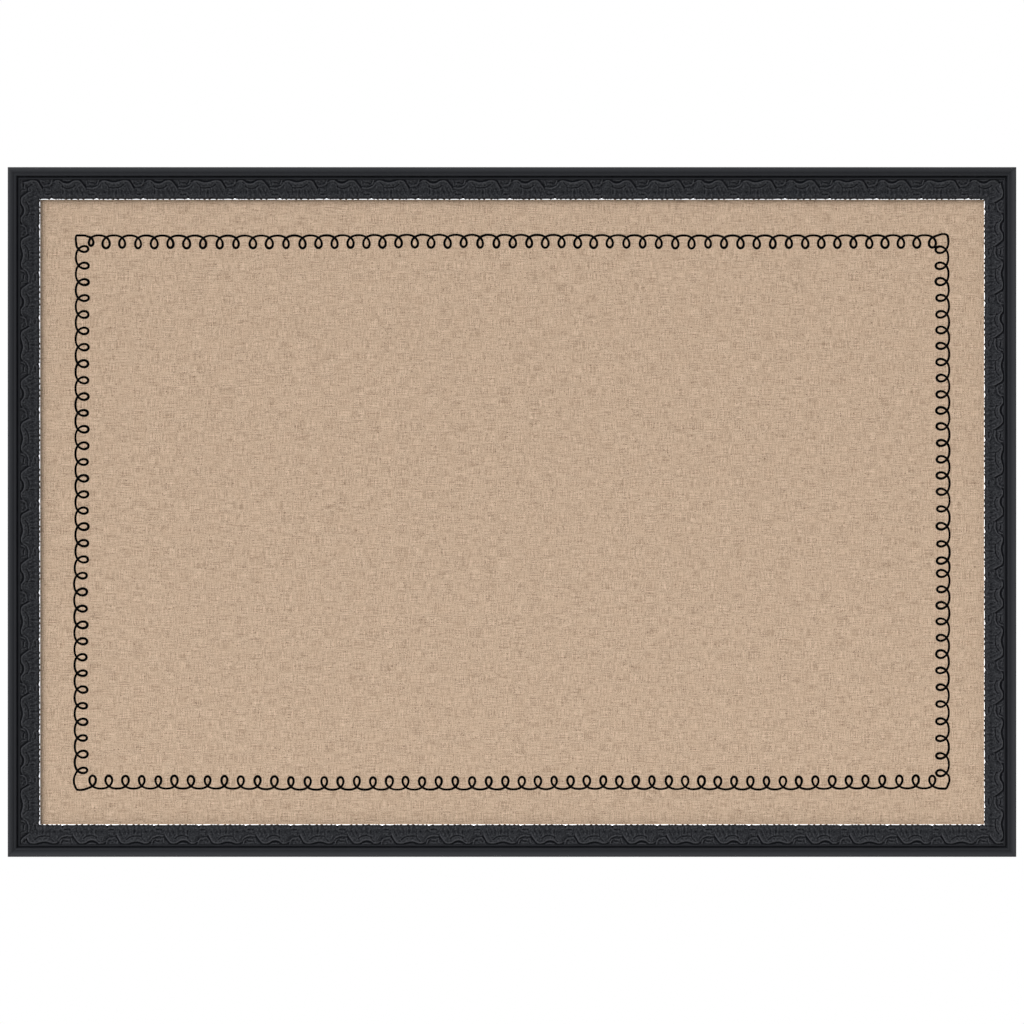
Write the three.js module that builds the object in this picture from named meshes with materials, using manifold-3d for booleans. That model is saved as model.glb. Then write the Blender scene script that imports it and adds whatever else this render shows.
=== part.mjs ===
// A framed pin board for a wall, landscape, seen from the front along +Y.
//
// Four mitred wooden rails carry a pressed shell ornament. Their rabbet holds a thin white slip and a
// panel: cork on hardboard, wrapped in linen. Framing points hold the panel in, V nails hold the mitres,
// and a paper dust cover closes the back. Four strap hangers, two for each way up, carry D-rings that
// swing, and four rubber bumpers hold the frame off the wall.
//
// Millimetres. +X is to the right, +Z up and -Y out of the wall. The origin is at the board's centre on
// the wall's surface.

import * as THREE from "three";
import { mergeVertices } from "three/addons/utils/BufferGeometryUtils.js";
import Module from "manifold-3d";

const wasm = await Module();
wasm.setup();

// The frame
const frameWidth = 965;
const frameHeight = 660;
const railWidth = 29.8; // from the outer edge to the ornament's inner edge
const railDepth = 22;
const mitreGap = 0.05; // on each side of a mitre

// The rail's face, from its outer edge inwards
const outerRound = 2.4;
const bandWidth = 6.1;
const bandFall = 0.6;
const beadWidth = 2.4;
const beadRise = 0.45;
const grooveWidth = 2.1;
const grooveDepth = 2.2;
const groundWidth = 1.1;
const groundDrop = 1.3;
const bedDrop = 2.6; // the ornament's bed at its outer end, below the rail's front
const bedFall = 5.5; // how much lower the bed is at the lip
const lipSetback = 0.6; // the wood ends this far short of the ornament
const rabbetWidth = 5.8;
const rabbetDepth = 12;

// The pressed ornament. One repeat has two shells, the first with the deeper dip, and a cup after each.
const ornamentRepeat = 87.73;
const ornamentThickness = 2.6;
const ornamentGap = 0.1;
const edgeFall = 3.2; // how far the shells' outer edge falls back from its peaks at the first shell's dip
const shellSwell = 0.45; // a shell's height over a cup's, as a share of the cup's
// Along a repeat from its start: the place, the fall of the outer edge and the swell
const ornamentRepeatShares = [
  [0.08, 1, 0.7], // the first shell's dip
  [0.185, 0, 1],
  [0.24, 0.5, 0.8],
  [0.28, 1.5, 0.3],
  [0.345, 1.7, 0], // a cup
  [0.42, 0.7, 0.3],
  [0.475, 0.15, 1],
  [0.58, 0.7, 0.7], // the second shell's dip
  [0.69, 0.1, 1],
  [0.755, 0.8, 0.7],
  [0.8, 1.6, 0.2],
  [0.85, 1.7, 0], // a cup
  [0.91, 0.7, 0.3],
  [0.98, 0, 1],
];
// Across the strip from its outer edge: the place and the height
const ornamentSectionShares = [
  [0, 0],
  [0.02, 0.5],
  [0.1, 0.72],
  [0.46, 0.42],
  [0.8, 0.6],
  [1, 0.34],
  [1, 0],
];

// The white slip between the lip and the linen
const slipThickness = 0.9;
const slipShow = 0.6;
const slipPlay = 0.5;

// The panel in the rabbet
const panelPlay = 0.9;
const linenThickness = 0.6;
const linenTurnIn = 25;
const corkThickness = 5;
const hardboardThickness = 3;
const glueLine = 0.05;

// Framing points
const pointThickness = 0.4;
const pointWidth = 6;
const pointBite = 4.5; // the length that is driven into the rail
const pointReach = 7; // the length that lies over the panel
const pointShoulder = 2;
const pointPlay = 0.3;
const longSidePoints = 4;
const shortSidePoints = 3;

// V nails
const nailInsets = [7, 16];
const nailLeg = 4.6;
const nailThickness = 0.6;
const nailHeight = 7;
const nailSink = 0.3;
const nailHalfAngle = THREE.MathUtils.degToRad(42);
const drivenGap = 0.3; // round a point, a nail or a screw in the wood

// The paper dust cover
const coverThickness = 0.25;
const coverInset = 4;

// Strap hangers with their D-rings and screws
const hangerInset = 13;
const landscapeDrop = 150; // from the frame's top edge to a ring's axis
const portraitDrop = 200; // from the frame's left edge, which is up when it hangs upright
const strapThickness = 0.8;
const strapWidth = 11;
const strapTail = 5.5; // beyond the screw, and the radius of the strap's round end
const screwReach = 20; // from the ring's axis to the screw
const curlOpening = THREE.MathUtils.degToRad(135);
const wireRadius = 1.1;
const wirePlay = 0.3;
const ringHalfWidth = 8.1;
const ringReach = 10.5;
const ringCorner = 3;
const ringSeam = 0.6;
const shankRadius = 1.75;
const shankLength = 12;
const shankTip = 3;
const holePlay = 0.35;
const headRadius = 3.4;
const headHeight = 1.9;
const headRim = 0.7;
const recessWidth = 0.9;
const recessLength = 3.8;
const recessDepth = 1;

// Rubber bumpers
const bumperHeight = 5;
const bumperRadius = 5.5;
const bumperFaceRadius = 3.8;
const bumperSkirt = 1.6;
const bumperInset = 12;

// One overrun serves every cut, and one distance welds the vertices of a mesh.
const overrun = 2;
const weldDistance = 1e-4;
const arcSteps = 5;
const roundSteps = 16;
const profileSteps = 3;
const wireSides = 4; // half the sides of the wire's section
const ringSteps = 24;

// Heights off the rail's back, which lies behind everything that follows
const slipFront = rabbetDepth - glueLine;
const slipBack = slipFront - slipThickness;
const linenFront = slipBack - glueLine;
const corkFront = linenFront - linenThickness - glueLine;
const corkBack = corkFront - corkThickness;
const hardboardFront = corkBack - glueLine;
const hardboardBack = hardboardFront - hardboardThickness;
const turnInFront = hardboardBack - glueLine;
const turnInBack = turnInFront - linenThickness;
const pointFront = turnInBack - pointPlay;
const pointBack = pointFront - pointThickness;

// Places on the Y axis
const coverBack = -bumperHeight;
const coverFront = coverBack - coverThickness;
const railBack = coverFront - glueLine;

// Places across the rail's face
const beadStart = bandWidth;
const grooveStart = beadStart + beadWidth;
const groundStart = grooveStart + grooveWidth;
const bedStart = groundStart + groundWidth;
const lipInset = railWidth - lipSetback;
const rabbetWall = railWidth - rabbetWidth;
const bedSlope = bedFall / (lipInset - bedStart);
const panelWidth = frameWidth - 2 * (rabbetWall + panelPlay + linenThickness + glueLine);
const panelHeight = frameHeight - 2 * (rabbetWall + panelPlay + linenThickness + glueLine);
const strapRadius = wireRadius + wirePlay + strapThickness;

// The four sides, clockwise from the top as seen from the front. Each is built as the top one, with x
// running clockwise, and turned. A repeat of the ornament starts at repeatStart from the side's middle.
const longSide = { length: frameWidth, reach: frameHeight / 2, points: longSidePoints };
const shortSide = { length: frameHeight, reach: frameWidth / 2, points: shortSidePoints };
const sides = [
  { ...longSide, name: "top", corner: "top_right", repeatStart: 6.05 },
  { ...shortSide, name: "right", corner: "bottom_right", repeatStart: -16.2 },
  { ...longSide, name: "bottom", corner: "bottom_left", repeatStart: 44.5 },
  { ...shortSide, name: "left", corner: "top_left", repeatStart: 18.6 },
];
sides.forEach((side, order) => {
  side.turn = (order * Math.PI) / 2;
});

// The four hangers. A landscape one hangs its ring down, and an upright one lies on its side until the
// board is turned.
const landscapeAxis = frameHeight / 2 - landscapeDrop;
const uprightAxis = portraitDrop - frameWidth / 2;
const hangers = [
  { name: "left", x: hangerInset - frameWidth / 2, z: landscapeAxis, turn: 0 },
  { name: "right", x: frameWidth / 2 - hangerInset, z: landscapeAxis, turn: 0 },
  { name: "top", x: uprightAxis, z: frameHeight / 2 - hangerInset, turn: -Math.PI / 2 },
  { name: "bottom", x: uprightAxis, z: hangerInset - frameHeight / 2, turn: -Math.PI / 2 },
];
const upAxis = new THREE.Vector3(0, 1, 0);
for (const hanger of hangers) {
  const reach = new THREE.Vector3(0, 0, -screwReach).applyAxisAngle(upAxis, hanger.turn);
  hanger.screw = reach.add(new THREE.Vector3(hanger.x, 0, hanger.z));
}

// Materials, each made anew for its piece
const finish = (color, roughness, metalness = 0) =>
  new THREE.MeshStandardMaterial({ color, roughness, metalness });
const blackLacquer = () => finish(0x323335, 0.42);
const blackOrnament = () => finish(0x2c2d30, 0.5);
const whiteCard = () => finish(0xf6f5f2, 0.8);
const naturalLinen = () => finish(0xbfa78f, 0.95);
const cork = () => finish(0xb98a58, 0.95);
const hardboard = () => finish(0x6f4a30, 0.75);
const brownPaper = () => finish(0xb28a5e, 0.85);
const plainSteel = () => finish(0x9a9c9f, 0.4, 1);
const nickelPlate = () => finish(0xc8c6c0, 0.25, 1);
const blackRubber = () => finish(0x2a2a2c, 0.9);

const pinBoard = new THREE.Group();

function piece(name, geometry, material, parent = pinBoard) {
  const mesh = new THREE.Mesh(geometry, material);
  mesh.name = name;
  parent.add(mesh);
  return mesh;
}

// A closed mesh as a solid that can be cut, and back
function toSolid(geometry) {
  const bare = geometry.clone();
  bare.deleteAttribute("normal");
  bare.deleteAttribute("uv");
  const welded = mergeVertices(bare, weldDistance);
  const vertProperties = welded.attributes.position.array;
  const triVerts = new Uint32Array(welded.index.array);
  return new wasm.Manifold(new wasm.Mesh({ numProp: 3, vertProperties, triVerts }));
}

function toGeometry(solid) {
  const { vertProperties, triVerts, numProp } = solid.getMesh();
  const geometry = new THREE.BufferGeometry();
  geometry.setAttribute("position", new THREE.BufferAttribute(vertProperties, numProp));
  geometry.setIndex(new THREE.BufferAttribute(triVerts, 1));
  geometry.computeVertexNormals();
  return geometry;
}

function cut(geometry, tools) {
  return toGeometry(tools.reduce((body, tool) => body.subtract(toSolid(tool)), toSolid(geometry)));
}

function common(geometry, other) {
  return toGeometry(toSolid(geometry).intersect(toSolid(other)));
}

function polygon(points) {
  return new THREE.Shape(points.map(([x, y]) => new THREE.Vector2(x, y)));
}

function rectangle(x, y, width, height) {
  return polygon([
    [x, y],
    [x + width, y],
    [x + width, y + height],
    [x, y + height],
  ]);
}

// A box between two corners
function block(low, high) {
  const size = high.clone().sub(low);
  const box = new THREE.BoxGeometry(size.x, size.y, size.z);
  const middle = low.clone().add(high).divideScalar(2);
  return box.translate(middle.x, middle.y, middle.z);
}

// A bar along x, mitred at both ends. Its section is drawn as the distance in from the frame's edge and
// the height off the rail's back.
function mitredBar(section, length) {
  const bar = new THREE.ExtrudeGeometry(section, { depth: 1, bevelEnabled: false, curveSegments: arcSteps });
  const corners = bar.attributes.position;
  for (let i = 0; i < corners.count; i += 1) {
    const inset = corners.getX(i);
    const height = corners.getY(i);
    const end = 1 - 2 * corners.getZ(i);
    corners.setXYZ(i, end * (length / 2 - inset - mitreGap), -height, -inset);
  }
  return bar;
}

// A flat plate in the plane of a side: the outline is drawn as the place along the side and the distance
// in from its edge, and the plate lies between two heights off the rail's back.
function sidePlate(outline, low, high, turn = 0) {
  const slab = new THREE.ExtrudeGeometry(outline, { depth: high - low, bevelEnabled: false });
  return slab.rotateZ(turn).rotateX(-Math.PI / 2).translate(0, -high, 0);
}

// A side's own place: the rail's back, at its outer edge
function sideGroup(side) {
  const group = new THREE.Group();
  group.rotation.y = side.turn;
  const seat = new THREE.Group();
  seat.position.set(0, railBack, side.reach);
  group.add(seat);
  pinBoard.add(group);
  return seat;
}

const bedHeight = (inset) => railDepth - bedDrop - bedSlope * (inset - bedStart);

function railSection() {
  const bandEnd = railDepth - bandFall;
  const groundHeight = railDepth - groundDrop;
  const section = new THREE.Shape();
  section.moveTo(0, 0);
  section.lineTo(0, railDepth - outerRound);
  section.absarc(outerRound, railDepth - outerRound, outerRound, Math.PI, Math.PI / 2, true);
  section.lineTo(beadStart, bandEnd);
  section.quadraticCurveTo(beadStart + beadWidth / 2, bandEnd + 2 * beadRise, grooveStart, bandEnd);
  const grooveMiddle = grooveStart + grooveWidth / 2;
  section.quadraticCurveTo(grooveMiddle, bandEnd - 2 * grooveDepth, groundStart, groundHeight);
  section.lineTo(bedStart, groundHeight);
  section.lineTo(bedStart, bedHeight(bedStart));
  section.lineTo(lipInset, bedHeight(lipInset));
  section.lineTo(lipInset, rabbetDepth);
  section.lineTo(rabbetWall, rabbetDepth);
  section.lineTo(rabbetWall, 0);
  return section;
}

// A V nail across the mitre at one end of a side, or, grown all round, the slot for it
function vNail(side, end, inset, grow) {
  const half = nailThickness / 2 + grow;
  const leg = nailLeg + grow;
  const [sine, cosine] = [Math.sin(nailHalfAngle), Math.cos(nailHalfAngle)];
  const apex = half / sine;
  const outer = [sine * leg + cosine * half, cosine * leg - sine * half];
  const inner = [sine * leg - cosine * half, cosine * leg + sine * half];
  const outline = polygon([
    [0, -apex],
    outer,
    inner,
    [0, apex],
    [-inner[0], inner[1]],
    [-outer[0], outer[1]],
  ]);
  const low = grow > 0 ? -overrun : nailSink;
  const nail = sidePlate(outline, low, nailSink + nailHeight + grow, (end * Math.PI) / 4);
  return nail.translate(end * (side.length / 2 - inset), 0, -inset);
}

// The places of a side's framing points along it
function pointPlaces(side) {
  const opening = side.length - 2 * rabbetWall;
  const orders = [...Array(side.points).keys()];
  return orders.map((order) => ((order + 1 / 2) / side.points - 1 / 2) * opening);
}

// A framing point, or, grown all round, the slot for the end that is driven in
function framingPoint(place, grow) {
  const half = pointWidth / 2 + grow;
  const tip = rabbetWall - pointBite - grow;
  const outline = polygon([
    [-half, rabbetWall + pointReach],
    [-half, tip + pointShoulder],
    [0, tip],
    [half, tip + pointShoulder],
    [half, rabbetWall + pointReach],
  ]);
  return sidePlate(outline, pointBack - grow, pointFront + grow).translate(place, 0, 0);
}

// A screw's hole in a side's rail, or nothing if the screw is in another one
function pilotHoles(side) {
  const holes = [];
  for (const hanger of hangers.filter((one) => one.name === side.name)) {
    const place = hanger.screw.clone().applyAxisAngle(upAxis, -side.turn);
    const radius = shankRadius + drivenGap;
    const depth = shankLength + drivenGap;
    const hole = new THREE.CylinderGeometry(radius, radius, depth + overrun, roundSteps);
    holes.push(hole.translate(place.x, (overrun - depth) / 2, place.z - side.reach));
  }
  return holes;
}

function rail(side) {
  const slots = [];
  for (const inset of nailInsets) {
    slots.push(vNail(side, 1, inset, drivenGap));
    slots.push(vNail(side, -1, inset, drivenGap));
  }
  for (const place of pointPlaces(side)) slots.push(framingPoint(place, drivenGap));
  return cut(mitredBar(railSection(), side.length), [...slots, ...pilotHoles(side)]);
}

// The ornament is a strip whose outer edge and height follow the shells and cups, and then it is mitred.
function ornament(side) {
  const width = railWidth - bedStart - ornamentGap;
  const corner = ([widthShare, heightShare]) => [widthShare * width, heightShare * ornamentThickness];
  const section = polygon(ornamentSectionShares.map(corner));
  const stations = ornamentRepeatShares.length;
  const first = Math.floor((-side.length / 2 - side.repeatStart) / ornamentRepeat);
  const last = Math.ceil((side.length / 2 - side.repeatStart) / ornamentRepeat) + 1;
  const steps = (last - first) * stations;
  const strip = new THREE.ExtrudeGeometry(section, { depth: steps, steps, bevelEnabled: false });
  const corners = strip.attributes.position;
  for (let i = 0; i < corners.count; i += 1) {
    const count = steps - Math.round(corners.getZ(i));
    const [placeShare, edgeShare, swellShare] = ornamentRepeatShares[count % stations];
    const along = side.repeatStart + (first + Math.floor(count / stations) + placeShare) * ornamentRepeat;
    const across = corners.getX(i);
    const fallBack = edgeFall * edgeShare * (1 - across / width) ** 2;
    const inset = bedStart + ornamentGap + across + fallBack;
    const rise = corners.getY(i) * (1 + shellSwell * swellShare);
    corners.setXYZ(i, along, -bedHeight(inset) - ornamentGap - rise, -inset);
  }
  const ends = rectangle(bedStart, 0, railWidth + overrun - bedStart, railDepth + overrun);
  return common(strip, mitredBar(ends, side.length));
}

function slip(side) {
  const start = rabbetWall + slipPlay;
  const width = railWidth + slipShow - start;
  return mitredBar(rectangle(start, slipBack, width, slipThickness), side.length);
}

// A slab of the panel, with its centre on the board's, between two heights off the rail's back
function slab(width, height, front, back) {
  const low = new THREE.Vector3(-width / 2, railBack - front, -height / 2);
  const high = new THREE.Vector3(width / 2, railBack - back, height / 2);
  return block(low, high);
}

// The linen lies over the cork, goes round the edges and is turned in behind.
function linenCover() {
  const inner = 2 * glueLine;
  const outer = inner + 2 * linenThickness;
  const wrapped = slab(panelWidth + outer, panelHeight + outer, linenFront, turnInBack);
  const inside = slab(panelWidth + inner, panelHeight + inner, corkFront + glueLine, turnInFront);
  const opening = 2 * linenTurnIn;
  const behind = slab(panelWidth - opening, panelHeight - opening, corkFront, turnInBack - overrun);
  return cut(wrapped, [inside, behind]);
}

function dustCover() {
  const width = frameWidth - 2 * coverInset;
  const height = frameHeight - 2 * coverInset;
  const sheet = rectangle(-width / 2, -height / 2, width, height);
  for (const { screw } of hangers) {
    const hole = new THREE.Path();
    hole.absarc(screw.x, screw.z, shankRadius + holePlay, 0, 2 * Math.PI);
    sheet.holes.push(hole);
  }
  const paper = new THREE.ExtrudeGeometry(sheet, {
    depth: coverThickness,
    bevelEnabled: false,
    curveSegments: arcSteps,
  });
  return paper.rotateX(Math.PI / 2).translate(0, coverBack, 0);
}

// The strap in its own place: the ring's axis is the x axis, and the strap runs down from it.
function hangerStrap() {
  const bore = strapRadius - strapThickness;
  const reach = screwReach + strapTail;
  const section = new THREE.Shape();
  section.moveTo(reach, -strapRadius);
  section.lineTo(0, -strapRadius);
  const curlEnd = -Math.PI / 2 - 2 * Math.PI + curlOpening;
  section.absarc(0, 0, strapRadius, -Math.PI / 2, curlEnd, true);
  section.absarc(0, 0, bore, curlEnd, -Math.PI / 2, false);
  section.lineTo(reach, -bore);
  const curled = new THREE.ExtrudeGeometry(section, {
    depth: strapWidth,
    bevelEnabled: false,
    curveSegments: arcSteps,
  });
  curled.translate(0, 0, -strapWidth / 2).rotateY(Math.PI / 2);

  const outline = new THREE.Shape();
  outline.moveTo(-strapWidth / 2, overrun + strapRadius);
  outline.lineTo(-strapWidth / 2, -screwReach);
  outline.absarc(0, -screwReach, strapTail, Math.PI, 2 * Math.PI, false);
  outline.lineTo(strapWidth / 2, overrun + strapRadius);
  const hole = new THREE.Path();
  hole.absarc(0, -screwReach, shankRadius + holePlay, 0, 2 * Math.PI);
  outline.holes.push(hole);
  const stamped = new THREE.ExtrudeGeometry(outline, {
    depth: 2 * (strapRadius + overrun),
    bevelEnabled: false,
    curveSegments: arcSteps,
  });
  stamped.rotateX(Math.PI / 2).translate(0, strapRadius + overrun, 0);
  return common(curled, stamped);
}

// A flat outline as a curve in space, hanging below the x axis
class WireCurve extends THREE.Curve {
  constructor(outline) {
    super();
    this.outline = outline;
  }

  getPoint(share, target = new THREE.Vector3()) {
    const { x, y } = this.outline.getPoint(share);
    return target.set(x, 0, y);
  }
}

// The D-ring is bent from wire, with its two ends meeting inside the strap's curl.
function hangerRing() {
  const wire = new THREE.Path();
  const bend = ringHalfWidth - ringCorner;
  wire.moveTo(ringSeam / 2, 0);
  wire.lineTo(bend, 0);
  wire.absarc(bend, -ringCorner, ringCorner, Math.PI / 2, 0, true);
  wire.absellipse(0, -ringCorner, ringHalfWidth, ringReach - ringCorner, 0, -Math.PI, true);
  wire.absarc(-bend, -ringCorner, ringCorner, Math.PI, Math.PI / 2, true);
  wire.lineTo(-ringSeam / 2, 0);
  const section = new THREE.Shape();
  section.absarc(0, 0, wireRadius, 0, 2 * Math.PI);
  return new THREE.ExtrudeGeometry(section, {
    steps: ringSteps,
    extrudePath: new WireCurve(wire),
    bevelEnabled: false,
    curveSegments: wireSides,
  });
}

// A pan-head screw along y: its head faces the wall, and its seat is at y = 0.
function hangerScrew() {
  const outline = new THREE.Path();
  outline.moveTo(0, -shankLength);
  outline.lineTo(shankRadius, shankTip - shankLength);
  outline.lineTo(shankRadius, 0);
  outline.lineTo(headRadius, 0);
  outline.lineTo(headRadius, headRim);
  outline.absellipse(0, headRim, headRadius, headHeight - headRim, 0, Math.PI / 2, false);
  const screw = new THREE.LatheGeometry(outline.getPoints(profileSteps), roundSteps);
  const top = headHeight + overrun;
  const floor = headHeight - recessDepth;
  const slots = [
    [recessLength, recessWidth],
    [recessWidth, recessLength],
  ].map(([width, length]) =>
    block(new THREE.Vector3(-width / 2, floor, -length / 2), new THREE.Vector3(width / 2, top, length / 2)),
  );
  return cut(screw, slots);
}

function bumper() {
  const outline = new THREE.Path();
  outline.moveTo(0, glueLine - bumperHeight);
  outline.lineTo(bumperRadius, glueLine - bumperHeight);
  outline.lineTo(bumperRadius, bumperSkirt - bumperHeight);
  const shoulder = bumperRadius - bumperFaceRadius;
  const rise = bumperHeight - bumperSkirt;
  outline.absellipse(bumperFaceRadius, -rise, shoulder, rise, 0, Math.PI / 2, false);
  outline.lineTo(0, 0);
  return new THREE.LatheGeometry(outline.getPoints(profileSteps), roundSteps);
}

// The rails, with what is pressed, glued or driven into them. A side's V nails hold its clockwise corner.
for (const side of sides) {
  const seat = sideGroup(side);
  piece(`${side.name}_rail`, rail(side), blackLacquer(), seat);
  piece(`${side.name}_ornament`, ornament(side), blackOrnament(), seat);
  piece(`${side.name}_slip`, slip(side), whiteCard(), seat);
  pointPlaces(side).forEach((place, order) => {
    piece(`${side.name}_framing_point_${order + 1}`, framingPoint(place, 0), plainSteel(), seat);
  });
  nailInsets.forEach((inset, order) => {
    piece(`${side.corner}_v_nail_${order + 1}`, vNail(side, 1, inset, 0), plainSteel(), seat);
  });
}

// The panel
piece("linen_cover", linenCover(), naturalLinen());
piece("cork_sheet", slab(panelWidth, panelHeight, corkFront, corkBack), cork());
piece("hardboard_backing", slab(panelWidth, panelHeight, hardboardFront, hardboardBack), hardboard());

piece("dust_cover", dustCover(), brownPaper());

// The hangers
for (const hanger of hangers) {
  const seat = new THREE.Group();
  seat.position.set(hanger.x, coverBack + glueLine + strapRadius, hanger.z);
  seat.rotation.y = hanger.turn;
  piece(`${hanger.name}_hanger_strap`, hangerStrap(), nickelPlate(), seat);
  piece(`${hanger.name}_hanger_ring`, hangerRing(), nickelPlate(), seat);
  const screw = piece(`${hanger.name}_hanger_screw`, hangerScrew(), nickelPlate(), seat);
  screw.position.set(0, strapThickness + glueLine - strapRadius, -screwReach);
  pinBoard.add(seat);
}

// The bumpers at the four corners of the back
for (const [name, x, z] of [
  ["top_left_bumper", -1, 1],
  ["top_right_bumper", 1, 1],
  ["bottom_left_bumper", -1, -1],
  ["bottom_right_bumper", 1, -1],
]) {
  const rubber = piece(name, bumper(), blackRubber());
  rubber.position.set(x * (frameWidth / 2 - bumperInset), 0, z * (frameHeight / 2 - bumperInset));
}

export default pinBoard;
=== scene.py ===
# %% [markdown]
# This lesson dresses a framed pin board. The board hangs on a wall: four mitred black rails with a pressed
# shell ornament, a thin white slip, and a panel of cork wrapped in natural linen, on which a black line of
# loops is printed. The construction is already there, as plain solids. Here each surface gets its finish,
# and the pieces that need a finer shape than the solids have are made anew in the same places.
#
# First the solids are loaded. Everything is in metres: X runs to the right, Z up, and the wall lies behind
# the board at Y = 0, so the board's face looks towards -Y.

# %% Load the frame
import math

import bmesh
import bpy
import numpy as np
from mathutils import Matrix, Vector


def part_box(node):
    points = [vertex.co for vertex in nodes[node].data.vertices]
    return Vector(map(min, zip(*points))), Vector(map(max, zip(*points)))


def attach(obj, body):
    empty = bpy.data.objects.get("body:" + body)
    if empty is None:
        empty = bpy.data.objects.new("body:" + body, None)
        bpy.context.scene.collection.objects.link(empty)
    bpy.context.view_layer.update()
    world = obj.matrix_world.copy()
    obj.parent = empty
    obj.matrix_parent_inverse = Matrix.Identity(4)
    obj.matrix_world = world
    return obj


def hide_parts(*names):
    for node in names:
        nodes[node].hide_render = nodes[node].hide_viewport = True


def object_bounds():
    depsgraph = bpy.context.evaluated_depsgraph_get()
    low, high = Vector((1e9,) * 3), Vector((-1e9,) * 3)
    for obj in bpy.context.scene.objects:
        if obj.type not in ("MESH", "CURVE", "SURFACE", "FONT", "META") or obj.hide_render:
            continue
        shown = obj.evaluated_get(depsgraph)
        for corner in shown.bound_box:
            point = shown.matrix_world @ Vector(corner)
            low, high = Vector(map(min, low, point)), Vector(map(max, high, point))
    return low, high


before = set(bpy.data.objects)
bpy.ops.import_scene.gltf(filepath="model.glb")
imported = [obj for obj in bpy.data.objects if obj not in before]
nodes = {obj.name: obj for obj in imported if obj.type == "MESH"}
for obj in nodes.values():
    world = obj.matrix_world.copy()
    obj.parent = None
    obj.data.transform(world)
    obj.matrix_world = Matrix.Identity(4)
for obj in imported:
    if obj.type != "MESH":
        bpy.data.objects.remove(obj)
cad_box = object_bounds()

# %% [markdown]
# The sizes below are in millimetres, as a joiner would write them, and one factor turns them into metres.
# The board's outline comes from the loaded solids, so it isn't written twice.

# %% Sizes that everything follows
MM = 0.001
low, high = (Vector(corner) for corner in cad_box)
BOARD_WIDTH = (high.x - low.x) / MM
BOARD_HEIGHT = (high.z - low.z) / MM
RAIL_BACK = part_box("top_rail")[1].y / MM
RAIL_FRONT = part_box("top_rail")[0].y / MM
LINEN_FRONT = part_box("linen_cover")[0].y / MM
RAIL_DEPTH = RAIL_BACK - RAIL_FRONT
print("board", round(BOARD_WIDTH, 1), "x", round(BOARD_HEIGHT, 1), "mm, rails", round(RAIL_DEPTH, 1), "deep")

# %% [markdown]
# The photograph looks straight at the board from far away, as a catalogue picture does. A long lens at
# that distance keeps the outer sides of the rails from showing. The distance follows from the share of
# the picture's width that the board takes.

# %% Camera
PICTURE_SHARE = 1009 / 1024
LENS = 200
SENSOR = 36
FAR_ENOUGH = 50


def look_straight_at_the_board():
    """Put a camera in front of the board, as far off as the lens needs to frame it."""
    view_width = BOARD_WIDTH * MM / PICTURE_SHARE
    distance = view_width * LENS / SENSOR
    face = RAIL_FRONT * MM
    bpy.ops.object.camera_add(location=(0, face - distance, 0), rotation=(math.pi / 2, 0, 0))
    camera = bpy.context.object
    camera.name = "catalogue_camera"
    camera.data.lens = LENS
    camera.data.sensor_width = SENSOR
    camera.data.clip_end = FAR_ENOUGH
    bpy.context.scene.camera = camera
    return distance


camera_distance = look_straight_at_the_board()
print("camera", round(camera_distance, 3), "m in front of the board")

# %% [markdown]
# The light is that of a plain studio. Most of it is one large soft lamp high on the left, because the
# photograph shows a soft shadow of the frame's lip on the linen along the top and the left edge only, which
# fades over about six millimetres. The rest comes from all round. The lamp isn't mirrored in the black
# lacquer, which shines alike on all four sides. The white behind the board belongs to the picture: the
# camera and all reflections see it in full, and it lights dull surfaces with a quarter of that. A second
# lamp stands behind, for whoever turns the board round, and its light doesn't reach the front. The floor
# is pale and well below the board.

# %% Light, background and floor
AMBIENT = 0.24
LAMPS = {
    "soft_key_lamp": {"towards": (0.76, 1, -0.68), "strength": 3.03, "spread": 46},
    "soft_back_lamp": {"towards": (-0.45, -1, -0.5), "strength": 3.0, "spread": 60},
}
LAMP_DISTANCE = 4
FLOOR_DROP = 1.1
FLOOR_SIZE = 4.4


def hexcolour(code):
    """An sRGB colour such as '#bfa78f' as the linear values that shaders use."""
    parts = [int(code[i : i + 2], 16) / 255 for i in (1, 3, 5)]
    return [p / 12.92 if p <= 0.04045 else ((p + 0.055) / 1.055) ** 2.4 for p in parts] + [1]


def add_node(tree, kind, inputs=None, **settings):
    """Add a shader node. Settings go on the node, and each input is a value or a socket to link."""
    made = tree.nodes.new("ShaderNode" + kind)
    for key, value in settings.items():
        setattr(made, key, value)
    for key, value in (inputs or {}).items():
        if isinstance(value, bpy.types.NodeSocket):
            tree.links.new(value, made.inputs[key])
        else:
            made.inputs[key].default_value = value
    return made


def light_the_studio():
    """Two broad soft lamps, light from all round, and white for the camera and for reflections."""
    for name, lamp in LAMPS.items():
        bpy.ops.object.light_add(type="SUN", location=-LAMP_DISTANCE * Vector(lamp["towards"]))
        light = bpy.context.object
        light.name = name
        light.rotation_euler = Vector(lamp["towards"]).to_track_quat("-Z", "Y").to_euler()
        light.data.energy = lamp["strength"]
        light.data.angle = math.radians(lamp["spread"])
        light.visible_glossy = False
    world = bpy.data.worlds.new("studio")
    bpy.context.scene.world = world
    world.use_nodes = True
    tree = world.node_tree
    rays = add_node(tree, "LightPath").outputs
    seen = add_node(tree, "Math", {0: rays["Is Camera Ray"], 1: rays["Is Glossy Ray"]}, operation="MAXIMUM")
    seen = add_node(tree, "Math", {0: seen.outputs[0], 1: rays["Is Transmission Ray"]}, operation="MAXIMUM")
    level = add_node(tree, "MapRange", {"Value": seen.outputs[0], "To Min": AMBIENT, "To Max": 1.0})
    background = tree.nodes["Background"]
    background.inputs["Color"].default_value = (1, 1, 1, 1)
    tree.links.new(level.outputs[0], background.inputs["Strength"])


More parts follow.
